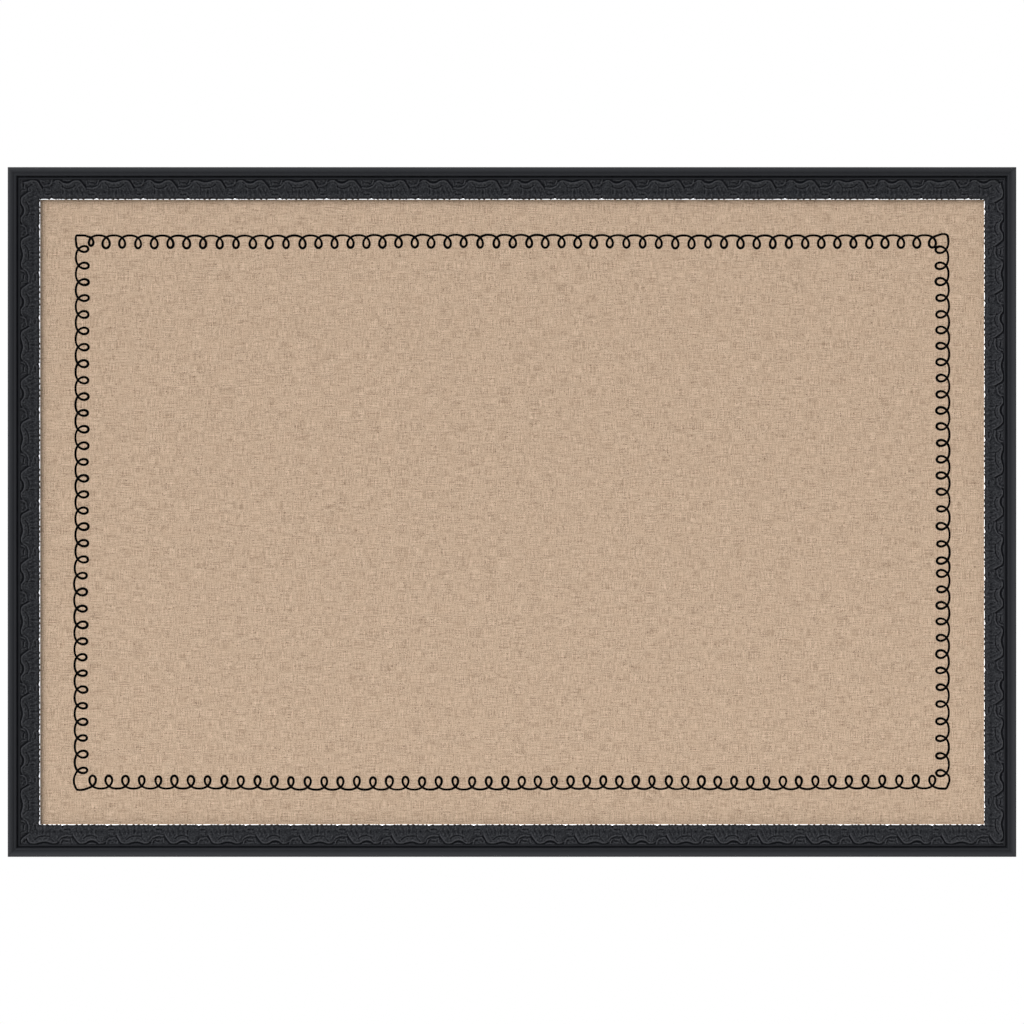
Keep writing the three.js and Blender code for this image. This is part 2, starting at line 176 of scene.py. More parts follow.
def lay_the_floor():
    """A pale floor, which isn't part of the board."""
    bpy.ops.mesh.primitive_plane_add(size=FLOOR_SIZE, location=(0, 0, low.z - FLOOR_DROP))
    floor = bpy.context.object
    floor.name = "studio_floor"
    paint = bpy.data.materials.new("pale_floor_paint")
    paint.use_nodes = True
    shader = paint.node_tree.nodes["Principled BSDF"].inputs
    shader["Base Color"].default_value = hexcolour("#ececea")
    shader["Roughness"].default_value = 0.9
    floor.data.materials.append(paint)


light_the_studio()
lay_the_floor()
bpy.context.scene.view_settings.view_transform = "Standard"
print("lamps:", ", ".join(LAMPS), "and", AMBIENT, "from all round")

# %% [markdown]
# Every material starts the same way: a shader with the colour, the roughness and the depth of reflection
# of the real stuff. Real surfaces are uneven, so clouds of noise then tint the colour, vary the roughness
# and lay a small relief over the surface. The size of a cloud is given in millimetres along each axis, so
# that the scale of each pattern can be read as a real size. Most materials need no more than that, and
# one helper makes them from a table of their clouds.

# %% Helpers for materials
MOST_OF_A_CLOUD = (0.3, 0.7)


def new_material(name, colour, roughness, metallic=0.0, **shader_values):
    """A material with its shader set for the real stuff. Returns it and its node tree."""
    material = bpy.data.materials.new(name)
    material.use_nodes = True
    tree = material.node_tree
    shader = tree.nodes["Principled BSDF"].inputs
    shader["Base Color"].default_value = hexcolour(colour)
    shader["Roughness"].default_value = roughness
    shader["Metallic"].default_value = metallic
    for key, value in shader_values.items():
        shader[key.replace("_", " ")].default_value = value
    return material, tree


def millimetres(tree, source=None, stretch=(1, 1, 1)):
    """Coordinates in millimetres, each divided by its stretch, from the object or from a UV map."""
    if source:
        place = add_node(tree, "UVMap", uv_map=source).outputs["UV"]
    else:
        place = add_node(tree, "TexCoord").outputs["Object"]
    scale = [1 / (MM * s) for s in stretch]
    return add_node(tree, "Mapping", {"Vector": place, "Scale": scale}).outputs["Vector"]


def noise(tree, size, detail=2.0, grit=0.5, source=None):
    """A cloud around 0.5 with cells of a size in millimetres: one number, or one for each axis."""
    stretch = size if isinstance(size, tuple) else (size, size, size)
    place = millimetres(tree, source, stretch)
    settings = {"Vector": place, "Scale": 1.0, "Detail": detail, "Roughness": grit}
    return add_node(tree, "TexNoise", settings).outputs["Fac"]


def blend_colours(tree, factor, first, second):
    """Mix two colours, which are hex codes or sockets."""
    pair = [hexcolour(c) if isinstance(c, str) else c for c in (first, second)]
    return add_node(tree, "Mix", {"Factor": factor, 6: pair[0], 7: pair[1]}, data_type="RGBA").outputs[2]


def shape_range(tree, value, low_in, high_in, low_out=0.0, high_out=1.0):
    """Stretch a value from one range to another, and hold it there."""
    inputs = {"Value": value, "From Min": low_in, "From Max": high_in}
    inputs.update({"To Min": low_out, "To Max": high_out})
    return add_node(tree, "MapRange", inputs, clamp=True).outputs[0]


def tint(tree, colour, other, cloud, low_in, high_in, at_high=1.0, at_low=0.0):
    """Turn a colour towards another, by one amount where a cloud is high and by another where it is low."""
    return blend_colours(tree, shape_range(tree, cloud, low_in, high_in, at_low, at_high), colour, other)


def combine(tree, first, second, operation):
    """Arithmetic on two values."""
    return add_node(tree, "Math", {0: first, 1: second}, operation=operation).outputs[0]


def use(tree, colour=None, roughness=None, height=None, depth=0.1, strength=1.0):
    """Link what a pattern gives to the shader. Depth is the relief's real height in millimetres."""
    shader = tree.nodes["Principled BSDF"].inputs
    if colour is not None:
        tree.links.new(colour, shader["Base Color"])
    if roughness is not None:
        tree.links.new(roughness, shader["Roughness"])
    if height is not None:
        bump = add_node(tree, "Bump", {"Height": height, "Distance": depth * MM, "Strength": strength})
        tree.links.new(bump.outputs["Normal"], shader["Normal"])


def clouded(name, colour, roughness, ground, clouds, bump, depth, rough=None, **shader_values):
    """A material whose ground colour is tinted by its clouds in turn.

    A cloud has its size in millimetres, its detail and its grit, which is how much the finer detail counts.
    One that tints also has the range of it that counts, how much it tints at the top of that range, and its
    colour. One cloud is the relief, of a depth in millimetres, and one may vary the roughness.
    """
    material, tree = new_material(name, colour, roughness, **shader_values)
    made = {}
    for cloud, (size, detail, grit, *tinting) in clouds.items():
        made[cloud] = noise(tree, size, detail, grit)
        if tinting:
            low_in, high_in, amount, other = tinting
            ground = tint(tree, ground, other, made[cloud], low_in, high_in, amount)
    varied = shape_range(tree, made[rough[0]], *MOST_OF_A_CLOUD, *rough[1:]) if rough else None
    use(tree, ground, varied, made[bump], depth=depth)
    return material


# %% [markdown]
# The rails and the ornament are sprayed with satin black lacquer. Black shows itself only by what it
# reflects, so the lacquer's own colour is nearly nothing and its reflection is kept low. The lacquer gets a
# painted highlight on the high edges and painted shade in the hollows. Both follow a value named relief,
# which each piece carries on its vertices: 1 on a crest and -1 in a hollow.

# %% Black lacquers
SATIN = {"Specular_IOR_Level": 0.25, "Specular_Tint": hexcolour("#bec0c3")}


def satin_black_lacquer():
    """Sprayed nitrocellulose over wood: satin, with a faint ripple and a trace of long brushing."""
    material, tree = new_material("satin_black_lacquer", "#232427", 0.42, **SATIN)
    relief = add_node(tree, "Attribute", attribute_name="relief").outputs["Fac"]
    streaks = noise(tree, 9, 4)
    ripple = noise(tree, 0.9, 3)
    # Painted shade in the hollows and painted highlight on the crests, by the relief value.
    colour = tint(tree, "#040509", "#232427", relief, -1, 0)
    colour = tint(tree, colour, "#37383b", relief, 0, 1)
    colour = tint(tree, colour, "#2c2d31", streaks, 0.35, 0.65, 0.12)
    use(tree, colour, shape_range(tree, streaks, 0.3, 0.7, 0.41, 0.46), ripple, depth=0.012)
    return material


def black_composition_painted_light():
    """Pressed composition, sprayed black: painted highlight on crests, painted shade in hollows, grainy all
    over.
    """
    material, tree = new_material("black_composition_painted_light", "#242528", 0.5, **SATIN)
    relief = add_node(tree, "Attribute", attribute_name="relief").outputs["Fac"]
    grain = noise(tree, 1.1, 3, 0.6)
    pits = noise(tree, 0.5, 2)
    # Painted highlight on the crests and painted shade in the hollows, broken up by a random grain.
    uneven = combine(tree, relief, shape_range(tree, grain, 0.3, 0.7, -0.6, 0.6), "ADD")
    colour = tint(tree, "#030408", "#232427", uneven, -1, 0)
    colour = tint(tree, colour, "#3f4043", uneven, 0, 1.2)
    use(tree, colour, shape_range(tree, uneven, -1, 1, 0.62, 0.42), pits, depth=0.05)
    return material


black_lacquer = satin_black_lacquer()
black_composition = black_composition_painted_light()
print("lacquers:", black_lacquer.name, black_composition.name)

# %% [markdown]
# The back and the rabbet of a lacquered moulding stay raw wood. Pine has rings a few millimetres apart,
# drawn out along the grain, and here the grain follows each rail.

# %% Raw pine
ALONG_GRAIN = 60.0
ACROSS_GRAIN = 2.2
RING_TO_FIBRE = 5


def raw_pine(name, ring_size):
    """Planed pine: pale and dull, with long rings and finer fibres."""
    clouds = {
        "rings": (ring_size, 3, 0.5, 0.35, 0.65, 1, "#a97f4e"),
        "fibres": (tuple(size / RING_TO_FIBRE for size in ring_size), 2, 0.5, 0.3, 0.7, 0.35, "#e0c496"),
    }
    return clouded(name, "#c9a877", 0.72, "#cfae7c", clouds, "fibres", 0.05, Specular_IOR_Level=0.35)


pine_along_x = raw_pine("raw_pine_long_rails", (ALONG_GRAIN, ACROSS_GRAIN, ACROSS_GRAIN))
pine_along_z = raw_pine("raw_pine_short_rails", (ACROSS_GRAIN, ACROSS_GRAIN, ALONG_GRAIN))
print("wood:", pine_along_x.name, pine_along_z.name)

# %% [markdown]
# Natural linen is unbleached flax in a plain weave. Flax spins unevenly: thick slubs and thin places run
# along the yarns, with dark flecks of bark among them, so the cloth looks crosshatched from a step away.
# The pattern follows the cloth's own flat map, so it goes round the panel's edges. The real yarns are
# about 0.6 mm apart, and from where the picture is taken they would melt into an even tone, so they are
# drawn at 0.95 mm.

# %% Natural linen
YARN = 0.95
THREAD = 0.55
GRAIN = 1.6
TONE_RANGE = (1.40, 2.06)


def natural_linen():
    """Unbleached flax in plain weave: matt and warm, with slubs both ways and a few dark flecks."""
    material, tree = new_material("unbleached_flax_linen", "#bfa78f", 0.92, Specular_IOR_Level=0.2)
    flat = "flat_cut"
    plain = millimetres(tree, flat)
    wave = {"Vector": plain, "Scale": math.pi / (10 * YARN), "Distortion": 0.0}
    warp = add_node(tree, "TexWave", wave, bands_direction="X").outputs["Fac"]
    weft = add_node(tree, "TexWave", wave, bands_direction="Y").outputs["Fac"]
    over = add_node(tree, "TexChecker", {"Vector": plain, "Scale": 1 / YARN}).outputs["Fac"]
    weave = add_node(tree, "Mix", {"Factor": over, 2: warp, 3: weft}).outputs[0]

    warp_tone = noise(tree, (THREAD, 11, 1), 2, source=flat)
    weft_tone = noise(tree, (14, THREAD, 1), 2, source=flat)
    grain = noise(tree, (THREAD, THREAD, 1), 1, source=flat)
    warp_slub = noise(tree, (1.5, 12, 1), 1, source=flat)
    weft_slub = noise(tree, (16, 1.5, 1), 1, source=flat)
    cloudy = noise(tree, (14, 14, 1), 3, source=flat)
    specks = noise(tree, (1.9, 1.4, 1), 1, source=flat)

    tone = combine(tree, warp_tone, weft_tone, "ADD")
    tone = combine(tree, tone, combine(tree, grain, GRAIN, "MULTIPLY"), "ADD")
    colour = tint(tree, "#7a614b", "#efd5bb", tone, *TONE_RANGE)
    thick = [shape_range(tree, slub, 0.62, 0.74) for slub in (warp_slub, weft_slub)]
    slubs = combine(tree, *thick, "MAXIMUM")
    colour = blend_colours(tree, combine(tree, slubs, 0.4, "MULTIPLY"), colour, "#93775f")
    colour = tint(tree, colour, "#5f4635", specks, 0.62, 0.72, 0.85)
    colour = tint(tree, colour, "#d3b79d", cloudy, 0.3, 0.7, 0.36)
    # Painted shade between the yarns: the low places of the weave are darkened.
    colour = tint(tree, colour, "#856b54", weave, 0, 1, 0, 0.3)
    height = combine(tree, weave, combine(tree, slubs, 0.8, "MULTIPLY"), "ADD")
    use(tree, colour, None, height, depth=0.12, strength=0.8)
    return material


linen = natural_linen()
print("yarns every", YARN, "mm")

# %% [markdown]
# The printed line is screen ink: nearly black, matt, and a little uneven where the cloth's yarns stand up.

# %% Screen ink
ink = clouded(
    "black_screen_ink", "#060505", 0.8, "#030303", {"weave": (YARN, 2, 0.5, 0.35, 0.75, 1, "#0e0c0b")},
    "weave", 0.05, Specular_IOR_Level=0.03,
)
print("ink:", ink.name)

# %% [markdown]
# The white slip is a strip of mount card. Its face is a smooth white sheet, of which less than a
# millimetre shows. The face has a painted glow as bright as the white behind the board, so the line stays
# pure white even in the lip's shadow. The core of the card, which the knife lays bare along the edge, is a
# duller cream.

# %% White card
# Painted glow: the card's face gives off light of its own.
PAINTED_GLOW = 1.0
card = clouded(
    "white_card_face", "#fbfbf9", 0.75, "#fdfdfc", {"tooth": (0.4, 2, 0.5, 0.3, 0.7, 0.25, "#f1f0ec")},
    "tooth", 0.02, Specular_IOR_Level=0.3, Emission_Color=hexcolour("#f4f8ff"), Emission_Strength=PAINTED_GLOW,
)
core = clouded(
    "cream_card_core", "#cfc4ae", 0.9, "#bfb299",
    {"layers": ((3, 0.2, 3), 2, 0.5, 0.35, 0.65, 1, "#d8ceb9")}, "layers", 0.03, Specular_IOR_Level=0.2,
)
print("card:", card.name, core.name)

# %% [markdown]
# What lies behind the linen is seen only when the board is taken apart, and is finished as carefully.
# Cork sheet is pressed granules, some dark with bark. Hardboard is wood fibre pressed hard and brown.

# %% Cork and hardboard
def pressed_cork():
    """Agglomerated cork: granules of 2 to 4 mm, each of its own brown, with dark bark between."""
    material, tree = new_material("pressed_cork", "#b98a58", 0.9, Specular_IOR_Level=0.2)
    inputs = {"Vector": millimetres(tree, stretch=(3, 3, 3)), "Scale": 1.0}
    cells = add_node(tree, "TexVoronoi", inputs).outputs
    edges = add_node(tree, "TexVoronoi", inputs, feature="DISTANCE_TO_EDGE").outputs
    tone = add_node(tree, "SeparateColor", {"Color": cells["Color"]}).outputs[0]
    colour = blend_colours(tree, tone, "#a97845", "#d2a36d")
    colour = tint(tree, colour, "#4f3018", tone, 0.88, 0.92, 0.8)
    colour = tint(tree, colour, "#6b4423", edges["Distance"], 0.02, 0.09, 0, 0.6)
    use(tree, colour, None, edges["Distance"], depth=0.3)
    return material


cork = pressed_cork()
hardboard = clouded(
    "brown_hardboard", "#6f4a30", 0.6, "#5a3a24",
    {
        "fibre": (1.2, 5, 0.65, 0.3, 0.7, 1, "#87603f"),
        "patches": (25, 3, 0.5, 0.4, 0.6, 0.25, "#4c301d"),
    },
    "fibre", 0.06, rough=("fibre", 0.5, 0.72), Specular_IOR_Level=0.35,
)
print("panel:", cork.name, hardboard.name)

# %% [markdown]
# The back is closed with kraft paper. It has pale fibres 2 mm long and dark ones across them, faint lines
# 1.6 mm apart from the paper machine, and a slightly mottled tone.

# %% Kraft paper
kraft = clouded(
    "kraft_paper", "#b28a5e", 0.78, "#a5825a",
    {
        "mottle": ((4, 4, 5), 5, 0.65, 0.3, 0.7, 1, "#b3926a"),
        "machine lines": ((1.6, 1.6, 260), 1, 0.5, 0.35, 0.65, 0.35, "#9a7750"),
        "pale fibres": ((0.25, 0.25, 2.0), 3, 0.6, 0.54, 0.72, 0.6, "#d2b68e"),
        "dark fibres": ((1.6, 0.25, 0.3), 2, 0.6, 0.56, 0.74, 0.6, "#7d5c39"),
    },
    "pale fibres", 0.03, Specular_IOR_Level=0.3,
)
print("paper:", kraft.name)

# %% [markdown]
# The fittings are nickel-plated steel, polished in a barrel: bright, with a faint haze and fine scratches.
# The V nails and framing points are cold-rolled steel, grey, with rolling lines and a dull bloom. The feet
# are moulded rubber with a pale bloom and a fine stippled skin. A metal's colour is its
# reflection, so the metals keep the default depth of reflection.

# %% Metals and rubber
nickel = clouded(
    "nickel_plate", "#c9c5bb", 0.24, "#c6c2b8",
    {
        "haze": (1.2, 4, 0.6, 0.3, 0.75, 1, "#b2aea4"),
        "scratches": ((0.1, 1.8, 1.8), 2, 0.5),
    },
    "scratches", 0.008, rough=("haze", 0.14, 0.26), metallic=1.0,
)
steel = clouded(
    "cold_rolled_steel", "#8f9194", 0.42, "#94969a",
    {
        "bloom": (1.5, 3, 0.5, 0.35, 0.65, 1, "#6f7174"),
        "rolling lines": ((0.15, 5, 5), 2, 0.5),
    },
    "rolling lines", 0.01, rough=("rolling lines", 0.34, 0.52), metallic=1.0,
)
rubber = clouded(
    "moulded_rubber", "#232325", 0.82, "#1d1d1f",
    {
        "bloom": (2.5, 3, 0.5, 0.35, 0.7, 1, "#333336"),
        "stipple": (0.3, 1, 0.5),
    },
    "stipple", 0.04, Specular_IOR_Level=0.3,
)
print(len(bpy.data.materials), "materials")

# %% [markdown]
# New pieces are modelled as by hand. An operator acts on all that is selected, so everything is deselected
# first. A finished piece has its place in its mesh, gets its finish, and is told which body it rides on
# and which plain solids it stands for.

# %% Helpers for pieces
def start():
    """Leave edit mode and deselect everything."""
    if bpy.context.mode != "OBJECT":
        bpy.ops.object.mode_set(mode="OBJECT")
    bpy.ops.object.select_all(action="DESELECT")


def only(piece):
    """Select one piece and make it the active one."""
    start()
    piece.select_set(True)
    bpy.context.view_layer.objects.active = piece
    return piece


def edit_all(piece):
    """Open a piece in edit mode with all of it selected."""
    only(piece)
    bpy.ops.object.mode_set(mode="EDIT")
    bpy.ops.mesh.select_all(action="SELECT")


def face_outwards():
    """Turn all faces of the open piece outwards and leave edit mode."""
    bpy.ops.mesh.select_all(action="SELECT")
    bpy.ops.mesh.normals_make_consistent(inside=False)
    bpy.ops.object.mode_set(mode="OBJECT")


def set_places(piece, places):
    """Move all vertices of a piece at once. Places are in millimetres."""
    piece.data.vertices.foreach_set("co", (np.asarray(places, float) * MM).ravel())
    piece.data.update()


def get_places(piece):
    """Where the vertices of a piece are, in millimetres."""
    flat = np.empty(len(piece.data.vertices) * 3)
    piece.data.vertices.foreach_get("co", flat)
    return flat.reshape(-1, 3) / MM


def fine_grid(cells_along, cells_across):
    """A fine flat grid, and where on it each vertex is, from -1 to 1."""
    start()
    bpy.ops.mesh.primitive_grid_add(x_subdivisions=cells_along, y_subdivisions=cells_across, size=2)
    piece = bpy.context.object
    return piece, get_places(piece) * MM


def piece_from(name, places, edges, faces):
    """A new piece from places in millimetres and what joins them."""
    data = bpy.data.meshes.new(name)
    data.from_pydata((np.array(places, float) * MM).tolist(), edges, faces)
    piece = bpy.data.objects.new(name, data)
    bpy.context.scene.collection.objects.link(piece)
    return only(piece)


def carry(piece, name, values):
    """Give each vertex a value that the materials can read."""
    attribute = piece.data.attributes.new(name, "FLOAT", "POINT")
    attribute.data.foreach_set("value", np.asarray(values, np.float32))


def apply_modifier(piece, kind, **settings):
    """Add a modifier with its settings and apply it."""
    only(piece)
    modifier = piece.modifiers.new(kind.lower(), kind)
    for key, value in settings.items():
        setattr(modifier, key, value)
    bpy.ops.object.modifier_apply(modifier=modifier.name)


def break_edges(piece, width, degrees):
    """Bevel the edges that are sharper than an angle, by a width in millimetres."""
    settings = {"segments": 2, "limit_method": "ANGLE", "angle_limit": math.radians(degrees)}
    apply_modifier(piece, "BEVEL", width=width * MM, **settings)


def smooth(piece, degrees):
    """Smooth shading, except across edges sharper than this."""
    only(piece)
    bpy.ops.object.shade_smooth_by_angle(angle=math.radians(degrees))


def turn_about_y(piece, quarter_turns):
    """Turn a piece that was made for the top side to its own side, and keep the turn in its mesh."""
    only(piece)
    piece.rotation_euler = (0, quarter_turns * math.pi / 2, 0)
    bpy.ops.object.transform_apply(location=True, rotation=True, scale=True)


def hand_over(piece, name, materials, body="board", stands_for=()):
    """Name a finished piece, give it its finish, and tie it to its body and the plain solids it stands for.
    """
    piece.name = piece.data.name = name
    for material in materials:
        if material.name not in piece.data.materials:
            piece.data.materials.append(material)
    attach(piece, body)
    if stands_for:
        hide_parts(*stands_for)
    return piece


def refinish(names, material):
    """Give solids whose shape is right a better finish."""
    for name in names:
        data = nodes[name].data
        data.materials.clear()
        data.materials.append(material)


# %% [markdown]
# The four sides are made alike. Each is built as the top one, with X running along it, and turned a
# quarter turn about Y for each step clockwise.

# %% The four sides
LONG_SIDE = {"length": BOARD_WIDTH, "reach": BOARD_HEIGHT / 2, "pine": pine_along_x}
SHORT_SIDE = {"length": BOARD_HEIGHT, "reach": BOARD_WIDTH / 2, "pine": pine_along_z}
# How far in the ornament and the slip end, and where the ornament's pattern starts along the side.
SIDES = [
    {"name": "top", **LONG_SIDE, "sight": 30.24, "slip": 30.75, "pattern_start": 6.05},
    {"name": "right", **SHORT_SIDE, "sight": 29.88, "slip": 30.15, "pattern_start": -16.2},
    {"name": "bottom", **LONG_SIDE, "sight": 30.28, "slip": 30.7, "pattern_start": 44.5},
    {"name": "left", **SHORT_SIDE, "sight": 29.87, "slip": 30.38, "pattern_start": 18.6},
]
print("sides:", ", ".join(side["name"] for side in SIDES))

# %% [markdown]
# A moulding is a straight stick of wood with a section cut along its whole length. A joiner saws it to
# length at 45 degrees, and it is made here in the same order: the section is drawn, extruded along the
# side, and sawn at both ends with bisect. The section starts as a circle with as many vertices as the
# outline has points, and each vertex is moved to its point. Rounded parts are arcs and parabolas. Each
# point also carries a value for the lacquer: 1 for a painted highlight and -1 for painted shade.

# %% The rails
OUTER_ROUND = 2.4
BAND_END = 6.1
BAND_FALL = 0.6
BAND_SWELL = 0.06
BAND_ARRIS = (0.5, 0.12)
BEAD_END = 8.5
BEAD_RISE = 0.3
GROOVE_END = 10.6
GROOVE_DEPTH = 1.8
GROUND_DROP = 1.3
BED_START = 11.7
BED_DROP = 2.6
BED_FALL = 5.5
LIP = 29.2
RABBET_WALL = 24
RABBET_DEPTH = 12
SAW_GAP = 0.01
SAWN_EDGE = 0.12
CURVE_STEPS = 8
# Painted light along the section: a painted highlight on the outer round and bead, painted shade in the
# groove and on the bed.
PAINTED_LIGHT_VALUES = {
    "side": -0.1, "corner": 0.95, "band": -0.2, "arris": -0.3, "bead": 0.35, "groove": -0.4, "ground": -0.25,
    "bed": -0.6, "raw wood": 0,
}
HIGHLIGHT_PEAK = 1.3
HIGHLIGHT_FADE = 0.12
# For choosing a finish: how squarely a face looks forwards or backwards, and how near counts as there.
FACING = 0.9
NEARLY = 0.2


def bed_height(inset):
    """How far the ornament's bed stands off the rail's back, at a distance in from the outer edge."""
    return RAIL_DEPTH - BED_DROP - BED_FALL * (inset - BED_START) / (LIP - BED_START)


def moulding_section():
    """The outline from the outer back corner over the face to the rabbet: inset, height, and a value for
    painted highlight (above 0) and painted shade (below 0).
    """
    band_height = RAIL_DEPTH - BAND_FALL
    ground = RAIL_DEPTH - GROUND_DROP
    points = [(0, 0, PAINTED_LIGHT_VALUES["side"]), (0, RAIL_DEPTH - OUTER_ROUND, PAINTED_LIGHT_VALUES["side"])]
    for step in range(1, CURVE_STEPS + 1):
        turn = step / CURVE_STEPS * math.pi / 2
        inset = OUTER_ROUND * (1 - math.cos(turn))
        height = RAIL_DEPTH - OUTER_ROUND * (1 - math.sin(turn))
        painted_highlight = PAINTED_LIGHT_VALUES["corner"] * min(inset / HIGHLIGHT_PEAK, 1) - HIGHLIGHT_FADE * max(inset - HIGHLIGHT_PEAK, 0)
        points.append((inset, height, PAINTED_LIGHT_VALUES["side"] + painted_highlight))
    points.append((BAND_END - BAND_ARRIS[0], band_height + BAND_SWELL, PAINTED_LIGHT_VALUES["band"]))
    points.append((BAND_END, band_height - BAND_ARRIS[1], PAINTED_LIGHT_VALUES["arris"]))
    for step in range(1, CURVE_STEPS):
        share = step / CURVE_STEPS
        hump = 4 * share * (1 - share)
        inset = BAND_END + share * (BEAD_END - BAND_END)
        points.append((inset, band_height + BEAD_RISE * hump, PAINTED_LIGHT_VALUES["arris"] + PAINTED_LIGHT_VALUES["bead"] * hump))
    for step in range(CURVE_STEPS + 1):
        share = step / CURVE_STEPS
        dip = 4 * share * (1 - share)
        inset = BEAD_END + share * (GROOVE_END - BEAD_END)
        height = band_height + share * (ground - band_height) - GROOVE_DEPTH * dip
        points.append((inset, height, PAINTED_LIGHT_VALUES["arris"] + PAINTED_LIGHT_VALUES["groove"] * dip))
    return points + [
        (BED_START, ground, PAINTED_LIGHT_VALUES["ground"]),
        (BED_START, bed_height(BED_START), PAINTED_LIGHT_VALUES["bed"]),
        (LIP, bed_height(LIP), PAINTED_LIGHT_VALUES["bed"]),
        (LIP, RABBET_DEPTH, PAINTED_LIGHT_VALUES["bed"]),
        (RABBET_WALL, RABBET_DEPTH, PAINTED_LIGHT_VALUES["raw wood"]),
        (RABBET_WALL, 0, PAINTED_LIGHT_VALUES["raw wood"]),
    ]


def saw(piece, along, slope):
    """Cut a piece at 45 degrees through a point on its outer edge, and close the cut."""
    edit_all(piece)
    bpy.ops.mesh.bisect(plane_co=along, plane_no=slope, use_fill=True, clear_outer=True)
    bpy.ops.object.mode_set(mode="OBJECT")


def mitred_bar(order, side, section, edge_break):
    """A bar along one side: its section, an extrusion, two saw cuts, and edges that are a little broken."""
    half = side["length"] / 2
    start()
    bpy.ops.mesh.primitive_circle_add(vertices=len(section), fill_type="NGON")
    bar = bpy.context.object
    set_places(bar, [(-half, RAIL_BACK - height, side["reach"] - inset) for inset, height, _ in section])
    carry(bar, "relief", [painted_value for _, _, painted_value in section])
    edit_all(bar)
    bpy.ops.mesh.extrude_region_move(TRANSFORM_OT_translate={"value": (2 * half * MM, 0, 0)})
    face_outwards()
    for end in (-1, 1):
        corner = Vector((end * (half - SAW_GAP), 0, side["reach"])) * MM
        saw(bar, corner, (end, 0, -1))
    break_edges(bar, edge_break, 40)
    turn_about_y(bar, order)
    smooth(bar, 40)
    return bar


def lay_bare_the_wood(rail, side):
    """Faces on the back and in the rabbet get the second material, raw pine."""
    for face in rail.data.polygons:
        centre = face.center / MM
        inset = side["reach"] - (abs(centre.z) if side["name"] in ("top", "bottom") else abs(centre.x))
        on_back = face.normal.y > FACING and centre.y > RAIL_BACK - RABBET_DEPTH - 1
        in_rabbet = inset > RABBET_WALL - NEARLY and centre.y > RAIL_BACK - RABBET_DEPTH - NEARLY
        if on_back or in_rabbet:
            face.material_index = 1


for order, side in enumerate(SIDES):
    rail = mitred_bar(order, side, moulding_section(), SAWN_EDGE)
    hand_over(
        rail, side["name"] + "_moulding", [black_lacquer, side["pine"]],
        stands_for=[side["name"] + "_rail"],
    )
    lay_bare_the_wood(rail, side)
print("rails of", len(rail.data.polygons), "faces each")

# %% [markdown]
# The ornament is a strip of composition, pressed in a hot mould that holds one repeat of the pattern,
# and glued to the rail. One repeat is 87.7 mm long and has two scallop shells, each with fluted ribs and a
# smooth lobe, and a small cup with a crescent after each. It is a carved relief, which no operator gives.
# It could be sculpted by hand, once for each of some forty repeats. Here the mould is cut once instead: a
# map of heights over one repeat, to which each form adds its own height by how far a point lies from the
# form's line. Then a fine grid for each side takes its heights from the map.
#
# On the map, a place is given as a distance along the repeat and a distance in from the frame's outer
# edge, both in millimetres.

# %% The mould: its lines
REPEAT = 87.73
CRESTS = [
    [
        (-6.6, 13.4), (-4.3, 12.0), (-1.5, 11.7), (0.2, 12.0), (3.4, 14.2), (7.0, 14.9), (10.1, 14.0),
        (12.9, 12.3), (16.8, 11.7), (19.0, 12.3), (21.8, 14.8), (24.3, 18.3),
    ],
    [
        (38.1, 13.4), (41.0, 12.1), (44.2, 11.9), (47.6, 13.1), (51.5, 13.8), (56.0, 13.1), (59.8, 11.9),
        (63.0, 11.7), (65.8, 12.4), (67.9, 14.2), (69.5, 16.8), (71.0, 19.4),
    ],
]
SHELL_SIDES = [
    [[(24.3, 18.3), (26.0, 22.5), (27.2, 30.6)], [(-6.6, 13.4), (-8.6, 18.0), (-8.4, 24.0), (-8.2, 30.6)]],
    [[(71.0, 19.4), (72.4, 24.0), (73.0, 30.6)], [(38.1, 13.4), (35.8, 18.0), (34.6, 24.0), (34.9, 30.6)]],
]
# The tool's strokes: how high each stands, half how wide it is, and its line. Those below 0 are cut in.
RIBS = [
    (0.26, 0.8, [(4.2, 21.3), (4.4, 28.6)]), (0.28, 0.8, [(8.4, 21.0), (9.6, 28.6)]),
    (0.36, 0.75, [(13.0, 20.7), (13.5, 25.6)]), (0.36, 0.7, [(15.9, 25.8), (17.5, 28.9)]),
    (0.28, 0.8, [(16.4, 19.0), (20.2, 26.0)]), (0.24, 0.7, [(19.2, 17.0), (23.4, 25.4)]),
    (-0.25, 0.4, [(14.8, 20.1), (16.6, 24.6)]), (-0.20, 0.4, [(18.3, 19.6), (22.3, 26.4)]),
    (0.28, 0.8, [(51.9, 22.0), (52.2, 28.8)]), (0.30, 0.8, [(55.0, 21.2), (55.6, 28.0)]),
    (0.38, 0.75, [(57.5, 20.6), (57.9, 27.4)]), (0.34, 0.75, [(60.6, 21.8), (62.2, 28.4)]),
    (0.26, 0.8, [(63.6, 18.0), (67.2, 26.8)]), (-0.25, 0.4, [(62.1, 21.4), (64.2, 26.8)]),
    (-0.20, 0.4, [(64.9, 19.6), (69.0, 26.0)]), (-0.16, 0.45, [(6.4, 21.2), (6.8, 28.0)]),
    (-0.20, 0.45, [(10.9, 20.8), (11.8, 28.0)]), (-0.16, 0.45, [(53.6, 21.6), (53.9, 28.4)]),
]
COLLARS = [
    (-0.75, 0.55, [(2.0, 18.5), (6.0, 20.3), (10.7, 19.9), (14.7, 17.5)]),
    (-0.75, 0.55, [(47.4, 19.5), (51.4, 19.9), (57.0, 19.1), (61.0, 16.8)]),
    (0.30, 0.9, [(3.4, 16.7), (7.0, 17.1), (10.2, 16.7)]),
    (0.28, 0.9, [(49.6, 16.2), (53.4, 16.6), (57.0, 15.6)]),
]
